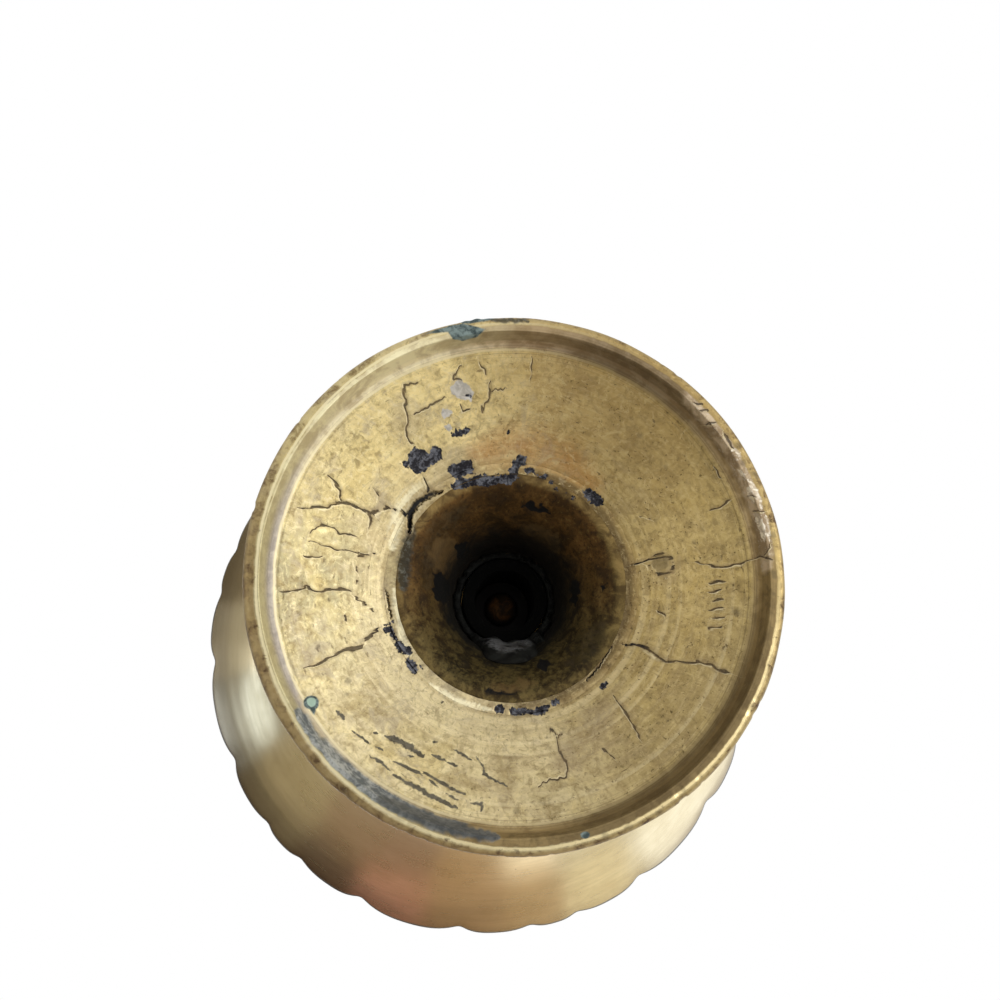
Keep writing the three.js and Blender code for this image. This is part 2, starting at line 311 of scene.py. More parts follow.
# one socket of a node tree; arithmetic on it adds Math nodes
class Wire:
    def __init__(self, tree, socket=None):
        self.tree = tree
        self.socket = socket

    # a new node: its settings first, then a value or a wire for each named or numbered socket
    def make(self, kind, settings=None, sockets=None, out=0):
        node = self.tree.nodes.new(kind)
        for key, value in (settings or {}).items():
            setattr(node, key, value)
        for key, value in (sockets or {}).items():
            if isinstance(value, Wire):
                self.tree.links.new(value.socket, node.inputs[key])
            else:
                node.inputs[key].default_value = value
        return Wire(self.tree, node.outputs[out] if len(node.outputs) else None)

    def maths(self, operation, first, second=0.0):
        return self.make("ShaderNodeMath", {"operation": operation}, {0: first, 1: second})

    def __add__(self, other):
        return self.maths("ADD", self, other)

    __radd__ = __add__

    def __sub__(self, other):
        return self.maths("SUBTRACT", self, other)

    def __rsub__(self, other):
        return self.maths("SUBTRACT", other, self)

    def __mul__(self, other):
        return self.maths("MULTIPLY", self, other)

    __rmul__ = __mul__

    def __abs__(self):
        return self.maths("ABSOLUTE", self)

    def least(self, other):
        return self.maths("MINIMUM", self, other)

    def most(self, other):
        return self.maths("MAXIMUM", self, other)

    # 0 below low and 1 above high, or the other way round where low is the larger
    def ease(self, low, high):
        return self.make("ShaderNodeMapRange", {"interpolation_type": "SMOOTHSTEP"},
                         {"Value": self, "From Min": low, "From Max": high})

    # this factor between two colours, each a wire or its red, green and blue out of 255
    def blend(self, first, second):
        first, second = [c if isinstance(c, Wire) else srgb(*c) for c in (first, second)]
        return self.make("ShaderNodeMix", {"data_type": "RGBA"}, {0: self, 6: first, 7: second}, 2)

    # from one colour to another while this goes from low to high
    def fade(self, low, high, first, second):
        return self.ease(low, high).blend(first, second)

    # a colour with layers laid over it in turn, each a factor and its colour
    def paint(self, colour, layers):
        for factor, over in layers:
            colour = factor.blend(colour, over)
        return colour

    def field(self, name):
        return self.make("ShaderNodeAttribute", {"attribute_name": name}, None, "Fac")

    def noise(self, place, scale, detail=3.0, rough=0.55, warp=0.0):
        return self.make("ShaderNodeTexNoise", None, {"Vector": place, "Scale": scale, "Detail": detail,
                                                      "Roughness": rough, "Distortion": warp})

    # noise that changes with one number only, such as a radius
    def lineNoise(self, number, scale, detail=3.0):
        return self.make("ShaderNodeTexNoise", {"noise_dimensions": "1D"},
                         {"W": number, "Scale": scale, "Detail": detail})

    # noise drawn out along some axes, by a turn about the vertical one and a scale for each
    def drawnNoise(self, place, scales, scale, detail, rough, turn=0.0):
        ways = self.make("ShaderNodeMapping", None, {"Vector": place, "Rotation": (0, 0, turn),
                                                     "Scale": scales})
        return self.noise(ways, scale, detail, rough)

    # one coordinate of a place
    def part(self, place, axis):
        return self.make("ShaderNodeSeparateXYZ", None, {"Vector": place}, axis)

    # how far a place lies along a direction, in m
    def towards(self, place, way):
        return self.make("ShaderNodeVectorMath", {"operation": "DOT_PRODUCT"}, {0: place, 1: way}, "Value")

    def bump(self, height, distance, strength):
        return self.make("ShaderNodeBump", None, {"Height": height, "Distance": distance,
                                                  "Strength": strength})


# a new material or world with an empty tree, and a wire to build in it
def bareTree(blocks, name):
    block = blocks.new(name)
    block.use_nodes = True
    block.node_tree.nodes.clear()
    return block, Wire(block.node_tree)


# a new finish with the place on the piece and its distance from the axis, in m
def newFinish(name):
    material, wire = bareTree(bpy.data.materials, name)
    place = wire.make("ShaderNodeTexCoord", None, None, "Object")
    flat = wire.make("ShaderNodeVectorMath", {"operation": "MULTIPLY"}, {0: place, 1: (1, 1, 0)})
    radius = wire.make("ShaderNodeVectorMath", {"operation": "LENGTH"}, {0: flat}, "Value")
    return material, wire, place, radius


def closeFinish(wire, colour, metallic, roughness, normal, specular=0.5):
    shader = wire.make("ShaderNodeBsdfPrincipled", None, {
        "Base Color": colour, "Metallic": metallic, "Roughness": roughness, "Normal": normal,
        "Specular IOR Level": specular})
    wire.make("ShaderNodeOutputMaterial", None, {"Surface": shader})


# foot plate; waves here and below are a seed, how many, most turns round the axis and most per mm

footPlate = {
    "facets": 900,
    "rings": 110,
    "bendRings": 0.35,       # how much a bend in the outline draws rings to it
    "rounding": 0.06,        # mm, how soft the corners are worn
    "unevenness": 0.03,      # mm, of the turned faces
    "unevenWaves": (3, 40, 24, 0.12),
    "ridge": (38.1, 0.25, 0.12),   # mm, radius, half width and height of the line beside the channel
    "lipNicks": 0.18,        # mm, dents in the lip's edge
    "nickWaves": (8, 40, 90, 0.03),
    "chipDepth": 0.15,       # mm, where the skin has flaked off
    "crackDepth": 0.08,      # mm
    "dashDepth": 0.048,      # mm
    "crust": 0.2,            # mm, height of the green crust
    "deposit": 0.1,          # mm, height of the grey deposit in the channel
    "crustWaves": (12, 60, 220, 0.6),
    "strokeWidth": 0.54,     # share of the widths of the cracks below
    "shakeWaves": [(71, 60, 260, 0.45), (72, 60, 260, 0.45)],    # across and down
    "leastFacing": 0.02,     # cosine to the lens from which a point takes marks
    # mm the lip's bright crest lies outside its mean, each 30 degrees clockwise from the photo's right
    "wander": (0.15, 0.25, 0.3, 0.45, 0.0, -0.55, -0.7, -0.45, -0.1, 0.15, 0.1, 0.0),
    "crest": 40.9,           # mm, its mean radius
}
# bands of the lip: mm from the axis where each begins and where it is full
lipBands = {
    "turned": (36.2, 37.2), "inner": (37.5, 38.2), "innerEnd": (39.4, 38.8), "channel": (37.9, 38.7),
    "channelEnd": (40.7, 40.4), "land": (38.9, 39.4), "landEnd": (40.8, 40.5), "blots": (40.8, 41.3),
    "outer": (41.1, 41.5), "groove": (38.3, 38.7),
}
footOutline = joinLegs(
    (39.8, 0), (41.4, 0), cornerLeg((41.4, 0), (42.5, 0), (42.5, 1.9)),
    cornerLeg((42.5, 1.9), (42.5, 5.2), (41.2, 5.2)), (40.0, 5.2),
    cornerLeg((40.0, 5.2), (40.0, 6.8), (38.45, 6.8)),
    sweepLeg((38.45, 6.8), (30.825, 10.5), (23.2, 17.4)),
    (19.8, 17.4), (19.8, 16.4), (21.2, 15.0),
    sweepLeg((21.2, 15.0), (29.825, 8.1), (37.55, 4.4)),
    cornerLeg((37.55, 4.4), (38.45, 4.4), (38.9, 3.5)))


# strokes in the foot's skin: half width in px, then the path
footCracks = [
    (1.5, [(299, 509), (312, 507), (328, 508), (336, 503), (346, 503), (356, 507), (371, 512), (378, 513)]),
    (2.0, [(362, 509), (372, 513), (384, 509), (392, 509)]), (1.1, [(390, 509), (397, 510), (406, 512)]),
    (1.4, [(329, 476), (335, 482), (340, 491), (341, 500), (346, 503)]),
    (1.8, [(372, 513), (371, 523), (369, 532)]),
    (1.5, [(373, 488), (379, 495), (378, 503)]),
    (3.7, [(410, 532), (410, 514), (417, 503), (429, 495), (442, 491)]),
    (1.3, [(422, 475), (426, 482), (429, 492)]),
    (0.8, [(310, 533), (321, 524), (327, 526), (335, 528), (340, 534), (355, 535), (361, 540)]),
    (0.7, [(309, 541), (326, 546), (338, 550), (355, 552), (375, 555)]),
    (1.7, [(375, 554), (358, 556), (354, 560), (356, 567), (358, 574)]),
    (1.6, [(361, 577), (356, 583)]),
    (0.8, [(303, 556), (314, 558), (324, 556)]), (1.1, [(363, 606), (366, 600)]),
    (1.0, [(386, 590), (388, 602), (391, 618)]),
    (1.3, [(279, 590), (290, 592), (298, 590), (306, 587), (313, 591), (323, 592), (332, 589), (347, 589),
           (353, 592), (359, 601), (367, 605), (375, 613), (378, 620)]),
    (1.5, [(345, 615), (349, 624)]),
    (1.5, [(362, 619), (365, 626)]),
    (1.3, [(303, 668), (313, 666), (326, 660), (335, 654), (347, 649), (361, 648), (364, 642), (370, 635),
           (376, 631), (382, 625)]),
    (2.4, [(343, 650), (352, 648), (362, 648)]),
    (2.2, [(366, 638), (371, 635), (377, 631)]),
    (1.4, [(419, 383), (404, 385), (403, 391), (406, 399), (405, 408), (409, 422), (406, 430), (409, 441),
           (414, 445)]),
    (1.3, [(414, 415), (424, 409), (433, 404), (446, 397)]),
    (1.0, [(462, 365), (456, 372), (454, 379), (462, 381)]),
    (1.0, [(460, 405), (463, 411), (469, 410)]),
    (1.2, [(479, 362), (485, 370), (486, 376)]),
    (1.2, [(491, 381), (489, 386), (491, 391), (489, 399), (483, 405), (482, 414)]),
    (0.9, [(491, 391), (500, 389), (507, 389)]),
    (0.7, [(532, 356), (531, 367), (532, 374), (530, 384)]),
    (1.2, [(631, 565), (647, 560), (656, 557), (675, 560)]),
    (1.1, [(695, 562), (708, 565), (721, 568), (740, 564), (753, 558)]),
    (1.2, [(668, 570), (668, 578)]),
    (1.5, [(623, 645), (634, 644), (645, 646)]), (2.4, [(643, 645), (654, 654), (666, 662)]),
    (1.2, [(664, 661), (684, 662), (701, 663)]), (2.0, [(697, 661), (712, 665), (719, 671)]),
    (1.3, [(717, 669), (732, 674)]),
    (1.0, [(710, 510), (720, 507), (730, 501)]),
    (0.8, [(639, 517), (654, 519)]),
    (0.8, [(653, 610), (665, 614), (668, 625)]),
    (1.1, [(613, 696), (621, 706)]), (1.6, [(619, 703), (625, 712), (632, 723)]),
    (1.0, [(630, 720), (642, 741)]),
    (1.0, [(603, 748), (616, 760)]),
    (1.2, [(547, 738), (552, 729), (549, 725)]),
    (1.1, [(552, 729), (559, 735), (563, 735)]),
    (1.2, [(556, 735), (559, 750), (566, 762), (567, 777), (551, 780), (540, 785), (538, 788)]),
    # across the lip on the right
    (1.8, [(725, 434), (729, 441), (733, 448)]), (1.2, [(705, 425), (716, 422)]),
    (1.3, [(753, 512), (764, 511)]),
    (1.2, [(763, 557), (771, 544)]), (1.3, [(755, 558), (764, 557), (773, 560)]),
    (1.2, [(747, 496), (757, 497)]),
    (1.0, [(715, 468), (719, 474), (721, 478)]), (1.2, [(693, 402), (702, 405)]),
    (1.2, [(699, 410), (707, 411)]),
    # ring round the stain on the right
    (1.3, [(651, 557), (657, 553), (666, 553), (673, 558), (675, 564), (671, 571), (663, 575), (655, 573),
           (650, 567), (651, 557)]),
    # seam at the lower right of the hole
    (0.9, [(586, 681), (592, 675), (600, 665), (607, 655), (612, 646)]),
]
# slate-coloured dashes low on the left
footDashes = [
    (1.2, [(351, 730), (366, 741), (371, 745)]),
    (3.2, [(385, 736), (399, 741), (409, 746), (423, 756)]),
    (1.4, [(373, 732), (378, 734)]),
    (1.7, [(370, 756), (381, 761), (390, 771)]),
    (1.3, [(375, 746), (384, 751)]),
    (1.7, [(394, 761), (413, 770), (423, 775)]),
    (1.3, [(408, 755), (414, 757)]),
    (1.7, [(431, 754), (446, 761)]),
    (1.4, [(448, 762), (458, 766)]),
    (1.8, [(424, 772), (439, 781), (453, 789), (466, 794)]),
    (1.4, [(428, 779), (439, 787)]),
    (2.6, [(393, 775), (408, 783), (421, 789), (429, 795), (441, 800), (457, 808)]),
    (1.4, [(446, 793), (459, 801)]),
    (1.4, [(453, 749), (472, 760)]),
    (1.4, [(476, 756), (484, 768), (484, 774), (496, 781), (507, 786)]),
    (2.0, [(471, 803), (482, 804), (482, 811)]),
    (1.2, [(433, 742), (438, 742)]),
    (1.2, [(422, 709), (431, 713)]),
    (1.0, [(401, 693), (408, 697)]),
    (1.4, [(438, 705), (444, 700)]),
    (2.8, [(337, 711), (344, 719)]),
]
# a plain row of file nicks on the right, evenly spaced, with ends a little uneven
nickRow = {"count": 6, "pitch": 9, "left": (708, 583), "right": (725, 581), "halfWidth": 1.1}     # px
for k in range(nickRow["count"]):
    down = nickRow["pitch"] * k
    left = (nickRow["left"][0] + 2 * k % 5, nickRow["left"][1] + down)
    right = (nickRow["right"][0] - 3 * k % 4, nickRow["right"][1] + down)
    footCracks.append((nickRow["halfWidth"], [left, right]))

footChips = [
    [(400, 465), (407, 461), (409, 453), (415, 447), (418, 451), (421, 445), (424, 451), (428, 454),
     (431, 447),
     (436, 445), (444, 453), (441, 460), (433, 465), (426, 470), (419, 476), (414, 473), (410, 468)],
    [(450, 432), (456, 427), (463, 429), (470, 425), (472, 429), (466, 434), (458, 437), (452, 436)],
    [(501, 424), (505, 427), (511, 425), (512, 431), (507, 435), (503, 431)],
    [(447, 469), (452, 463), (458, 465), (462, 461), (470, 460), (477, 463), (474, 469), (476, 474),
     (466, 475), (455, 479), (450, 475)],
    [(450, 485), (458, 479), (470, 478), (484, 475), (497, 476), (512, 474), (524, 477), (516, 481),
     (508, 486), (498, 484),
     (488, 487), (474, 485), (462, 489), (453, 490)],
    [(508, 457), (514, 460), (520, 454), (529, 458), (527, 464), (519, 467), (516, 472), (522, 478),
     (514, 477), (508, 471), (512, 464)],
    [(581, 491), (588, 488), (595, 492), (602, 497), (605, 504), (598, 506), (592, 503), (586, 500)],
    [(524, 469), (529, 468), (532, 472), (528, 474)], [(535, 473), (541, 475), (545, 479), (539, 480)],
    roundPatch(556, 489, 3, 2, 30), roundPatch(573, 498, 2.4, 1.8), roundPatch(567, 493, 1.8),
    [(384, 623), (389, 622), (393, 629), (398, 640), (393, 643), (389, 636), (385, 632)],
    [(394, 642), (401, 640), (405, 645), (412, 650), (410, 656), (403, 653), (397, 650)],
    [(404, 660), (409, 657), (414, 661), (419, 670), (416, 676), (410, 672), (407, 666)],
    [(509, 708), (520, 707), (531, 710), (541, 706), (549, 705), (548, 711), (538, 716), (527, 713),
     (516, 717), (510, 714)],
    roundPatch(499, 709, 5.5, 4), roundPatch(556, 702, 5, 3, -20), roundPatch(603.5, 686, 3.5, 5.5, 20),
    roundPatch(545, 476, 2.2), roundPatch(551, 482, 2.2), roundPatch(534, 471, 1.8),
    roundPatch(393, 622, 2),
    roundPatch(421, 667, 2), roundPatch(470, 396, 3.4, 2.4),
]
footPale = [
    [(450, 388), (458, 380), (468, 384), (476, 393), (472, 401), (462, 399), (454, 396)],
    roundPatch(447, 413.5, 6, 4.5, -20), roundPatch(449.5, 427.5, 4, 3),
]
footGreen = [
    [(424, 334), (436, 330), (453, 325), (488, 321), (496, 318), (440, 318), (486, 329), (477, 337),
     (462, 341), (453, 339), (448, 332)],
    roundPatch(311, 703, 8, 7.5), [(311, 709), (316, 709), (314, 716), (312, 715)],
    roundPatch(585, 835, 5, 3.5),
]
footMint = [roundPatch(311, 702.5, 4.7)]
footStains = [
    roundPatch(320, 489, 1.8), roundPatch(329, 600, 2.2), roundPatch(318, 647, 2.2),
    roundPatch(349, 633, 2.2),
    roundPatch(348, 681, 2.8), roundPatch(346, 694, 2.8), roundPatch(373, 665, 2.2),
    roundPatch(640, 435, 3.2),
    roundPatch(666, 468, 2.2), roundPatch(678, 459, 1.8), roundPatch(695, 543, 2.2),
    roundPatch(736, 612, 4.2),
    roundPatch(517, 811, 3.2), roundPatch(544, 803, 2.8), roundPatch(436, 742, 2.6),
    roundPatch(660, 563, 9, 8),
    roundPatch(605, 835, 4), roundPatch(628, 827, 5, 3), roundPatch(659, 812, 5, 3),
    roundPatch(344, 790, 4),
    roundPatch(350, 799, 4), roundPatch(738, 446, 3.6, 4.2), roundPatch(744, 462, 3, 3.4),
    roundPatch(755, 475, 3, 6, -35),
    roundPatch(773, 535, 3.4, 3), roundPatch(774, 574, 3, 4), roundPatch(749, 469, 2.2),
    roundPatch(774, 594, 2.4),
]
footWorn = [
    roundPatch(344, 456, 34, 17, -32), roundPatch(640, 740, 40, 16, -48), roundPatch(300, 600, 16, 26),
    roundPatch(560, 795, 34, 12, -10), roundPatch(700, 440, 16, 40, -30),
]
# soft bands: half width in px, then the path
footGrime = [(9.0, [(413, 528), (408, 545), (404, 566), (403, 588)]),
             (3.0, [(492, 321), (510, 320), (528, 322)])]
footScuff = [(15.0, [(690, 398), (718, 428), (738, 460), (750, 490), (758, 517), (763, 545), (764, 566)])]
footFlecks = [
    (2.6, [(735, 449), (742, 457)]), (2.4, [(739, 470), (745, 478)]),
    (2.0, [(748, 479), (753, 485), (759, 496), (762, 508)]),
    (3.0, [(749, 487), (753, 501)]), (3.4, [(757, 515), (762, 528), (764, 540)]),
    (1.8, [(766, 514), (769, 527), (770, 541)]),
    (1.6, [(712, 424), (716, 422)]), (1.6, [(731, 451), (736, 448)]),
]
footDeposit = [(9.0, [(297, 712), (308, 732), (322, 750)]), (13.0, [(312, 738), (326, 755), (343, 771)]),
               (16.0, [(328, 757), (352, 778), (387, 800), (425, 818)]),
               (11.0, [(405, 810), (436, 822), (470, 832)]),
               (6.0, [(455, 828), (475, 834), (498, 838)])]
footSlate = [(9.0, [(380, 800), (412, 814), (440, 824), (470, 833), (498, 838)])]
footHaze = [(9.0, [(312, 740), (296, 706), (280, 653), (272, 610), (271, 575), (275, 535), (285, 490),
                   (305, 443), (333, 409), (357, 385), (385, 362)])]
# bare brass and painted highlight along the hole's edge and below it: half width in px, then the path
footBareAndGlint = [(10.0, [(392, 548), (395, 528), (400, 510), (408, 496), (426, 483)]),
             (6.0, [(394, 590), (397, 612), (403, 640), (410, 654)]),
             (4.5, [(430, 684), (460, 702), (490, 710)])]
footSmear = [(26.0, [(606, 708), (584, 738), (562, 764)])]
footCopper = [(34.0, [(478, 452), (520, 448), (560, 462), (592, 484)])]

# fields that the marks make: the strokes or outlines, px round them that count, and px that they are
# shaken by, which makes them ragged
footStrokes = {
    "dash": (footDashes, markReach, 0.35), "fleck": (footFlecks, markReach, 0.6),
    "scuff": (footScuff, 30, 0.6),
    "deposit": (footDeposit, 30, 0.6), "slate": (footSlate, 30, 0.6), "haze": (footHaze, 30, 0.6),
    "grime": (footGrime, 30, 0.6), "bareAndGlint": (footBareAndGlint, 30, 0.6), "smear": (footSmear, 60, 0.6),
    "copper": (footCopper, 70, 0.6),
}
footPatches = {
    "chip": (footChips, markReach, 0.6), "pale": (footPale, markReach, 0.6),
    "stain": (footStains, markReach, 0.6),
    "worn": (footWorn, 30.0, 0.6), "green": (footGreen, markReach, 0), "mint": (footMint, markReach, 0),
}
crackShake = 0.6                                    # px
paleSide = tuple(float(c) for c in -viewRight)      # the paler side of the foot, with dust and painted sheen
topSide = tuple(float(c) for c in viewUp)           # the side painted browner, as shade


# all marks of the underside at the points of a turned piece, as fields in the photo's pixels
def footFields(points, seen, around, run):
    px, py = photoPixels(points)
    shakeX, shakeY = [waves(around, run, *how) for how in footPlate["shakeWaves"]]
    shaken = lambda size: ((px + size * shakeX).ravel(), (py + size * shakeY).ravel())
    hide = lambda field, far: np.where(seen, field.reshape(px.shape), far)
    cracks = [(footPlate["strokeWidth"] * half, path) for half, path in footCracks]
    near, side = strokeFields(*shaken(crackShake), cracks)
    fields = {"crackNear": hide(near, offStroke), "crackSide": hide(side, offStroke)}
    for key, (strokes, reach, size) in footStrokes.items():
        fields[key] = hide(strokeFields(*shaken(size), strokes, reach)[0], offStroke)
    for key, (patches, reach, size) in footPatches.items():
        fields[key] = hide(patchField(*shaken(size), patches, reach), reach)
    return fields


# a field with noises about their middle added, each by its size, which makes its outline ragged
def ragged(g, name, **sizes):
    value = g.wire.field(name)
    for key, size in sizes.items():
        value = value + (getattr(g, key) - 0.5) * size
    return value


# a band of the lip for a radius in m: 0 where it begins and 1 where it is full
def lipBand(radius, name):
    return radius.ease(*[r * mm for r in lipBands[name]])


# layers of the marks; how dull they are and where the cracks lie is noted for the finish
def markLayers(g):
    wire, radius, mottle, cloud, grain = g.wire, g.radius, g.mottle, g.cloud, g.grain
    stain = ragged(g, "stain", cloud=6, mottle=4).ease(1.5, -2.0)
    grime = ragged(g, "grime", cloud=1.4, mottle=1.8).ease(1.25, 0.2)
    shaken = radius + cloud * 0.0006 + mottle * 0.0012 - 0.0009
    groove = lipBand(shaken, "groove") * lipBand(shaken - wire.field("wander"), "channelEnd")
    deposit = ragged(g, "deposit", mottle=1.4).ease(1.3, 0.5) * groove
    smeared = wire.paint((mottle * 0.5 + cloud * 0.5).fade(0.4, 0.58, (176, 178, 174), (88, 96, 101)), [
        (grain.ease(0.54, 0.66) * 0.5, (66, 72, 76)),
        (ragged(g, "slate", cloud=1.2).ease(1.3, 0.4) * 0.8, (64, 68, 70))])
    pale = ragged(g, "pale", cloud=6, mottle=8).ease(0.8, -0.8)
    smudge = ragged(g, "crackNear", cloud=5).ease(6.0, 1.0)
    beside = ragged(g, "crackSide", cloud=2)
    lit = radius.ease(0.0185, 0.0195) * beside.ease(1.0, 1.7) * beside.ease(4.0, 2.4)     # painted highlight on the lit side of a crack's raised edge
    within = abs(wire.field("crackSide")) + grain * 1.6 + cloud * 1.8 + mottle * 2.0 - 2.8
    crack = within.ease(1.7, 0.4) * wire.field("crackNear").ease(3.0, 1.6)
    byHole = radius.ease(0.0262, 0.0222)
    brown = (cloud * 0.6 + mottle * 0.4).fade(0.4, 0.6, (56, 46, 35), (106, 88, 62))
    dash = ragged(g, "dash", cloud=2.2, grain=1.6).ease(1.2, 0.6)
    chip = ragged(g, "chip", mottle=6, cloud=7, grain=3).ease(0.5, -0.5)
    green = ragged(g, "green", cloud=3).ease(0.8, -0.8)
    core = ragged(g, "mint", cloud=2).ease(0.8, -0.8)
    verdigris = cloud.fade(0.35, 0.65, (64, 77, 76), (136, 152, 148))
    g.crack = crack
    g.dull = chip.most(green).most(crack).most(deposit)
    for mark, share in ((dash, 0.8), (grime, 0.8), (pale, 0.7), (stain, 0.4)):
        g.dull = g.dull.most(mark * share)
    return [
        (stain * 0.4, (98, 86, 62)),
        (grime * 0.85, (cloud * 0.6 + grain * 0.5).fade(0.5, 0.7, (42, 43, 39), (104, 106, 98))),
        (deposit * 0.93, smeared),
        (pale * 0.9, cloud.fade(0.35, 0.6, (168, 164, 158), (208, 204, 198))),
        (smudge * 0.45, (132, 113, 86)),
        (lit * mottle.ease(0.35, 0.6) * 0.55, (240, 226, 182)),
        (crack * (0.45 + mottle * 0.75 + byHole * 0.4).least(1.0),
         byHole.blend(brown, cloud.fade(0.45, 0.68, (15, 14, 14), (52, 46, 42)))),
        (dash * 0.9, cloud.fade(0.35, 0.65, (52, 48, 42), (98, 94, 84))),
        (chip, (cloud * 0.8 + grain * 0.4).fade(0.52, 0.76, (24, 22, 28), (116, 118, 126))),
        (green, core.blend(verdigris, (178, 204, 186))),
    ]


# what all layers of the foot share: noises from broad to fine, the way to its sides, and where dust and
# painted sheen make it paler
def footGround(wire, place, radius):
    g = SimpleNamespace(wire=wire, place=place, radius=radius)
    g.broad = wire.noise(place, 55, 3, 0.5)
    g.drift = wire.noise(place, 110, 4, 0.6, 0.8)
    g.mottle = wire.noise(place, 260, 5, 0.62, 0.5)
    g.cloud = wire.noise(place, 800, 4, 0.62, 0.6)
    g.grain = wire.noise(place, 1900, 3, 0.65)
    g.turning = wire.lineNoise(radius, 1500, 5)
    g.toSide = wire.towards(place, paleSide)
    g.toTop = wire.towards(place, topSide)
    g.rising = g.toTop.ease(0.0, 0.03)
    g.lowSide = g.toTop.ease(0.006, -0.02)
    # the paler side: dust, and the sheen of the lit side painted in
    g.dusty = (g.toSide + g.broad * 0.03 - 0.015).ease(-0.03, 0.028)
    # painted light: the upper part of the pale side made brighter gold
    g.gilt = g.toTop.ease(-0.004, 0.018) * g.dusty
    return g


# base metal: pale brass with dust and painted sheen on one side, olive gold on the other, painted light
# above the pale side, painted brown shade above the other, rubbed round the hole
def metalLayers(g):
    radius, drift, mottle, cloud, turning = g.radius, g.drift, g.mottle, g.cloud, g.turning
    dusty, gilt, lowSide = g.dusty, g.gilt, g.lowSide
    greyed = (g.toSide + drift * 0.02 - 0.01).ease(0.006, 0.03) * (1 - gilt * 0.5)
    beige = g.toTop.ease(0.0, -0.026) * g.toSide.ease(-0.022, -0.004)
    # painted shade: browner towards the upper side, away from the pale side
    shadedTop = (g.toTop + drift * 0.012 - 0.006).ease(0.004, 0.034) * dusty.ease(0.85, 0.35)
    worn = ragged(g, "worn", drift=16, mottle=14).ease(5.0, -5.0)
    closeIn = radius.ease(0.03, 0.0215)
    arcs = g.wire.lineNoise(radius, 640, 4)           # turned lines below the hole
    rubbed = closeIn * dusty.ease(0.3, 0.8) * (0.3 + mottle * 0.6)
    lowRight = lowSide * g.toSide.ease(0.012, -0.004)
    return [
        (gilt * 0.92, (255, 230, 160)),
        (greyed * 0.84, drift.fade(0.42, 0.58, (144, 137, 110), (172, 162, 122))),
        (beige * 0.75, drift.fade(0.4, 0.6, (226, 208, 164), (246, 230, 182))),
        (drift.ease(0.5, 0.68) * 0.6, dusty.blend((190, 164, 98), (206, 184, 122))),
        (drift.ease(0.48, 0.32) * 0.65, dusty.blend((152, 131, 92), (180, 165, 132))),
        (mottle.ease(0.42, 0.68) * (0.65 - gilt * 0.25), dusty.blend((150, 127, 77), (176, 155, 102))),
        (cloud.ease(0.5, 0.7) * 0.6, (138, 120, 78)),
        (cloud.ease(0.46, 0.3) * 0.55, dusty.blend((198, 176, 120), (224, 210, 170))),
        (shadedTop * (0.42 + radius.ease(0.036, 0.022) * 0.42), (160, 124, 66)),
        (worn * (0.08 + (cloud * 0.5 + g.grain * 0.5).ease(0.46, 0.62) * 0.34), (112, 98, 60)),
        (turning.ease(0.42, 0.72) * (0.12 + closeIn * (0.06 + dusty * 0.2)), (132, 108, 66)),
        (turning.ease(0.44, 0.28) * (0.06 + closeIn * (0.05 + dusty * 0.35)), (230, 212, 166)),
        (arcs.ease(0.52, 0.66) * lowSide * 0.3, (152, 132, 96)),
        (arcs.ease(0.47, 0.34) * lowSide * 0.35, (240, 224, 180)),
        (rubbed * 0.5, (226, 208, 164)),
        (rubbed * lowSide * 0.8, (255, 242, 198)),
        (lowRight * radius.ease(0.027, 0.035) * 0.3, (142, 126, 92)),
    ]


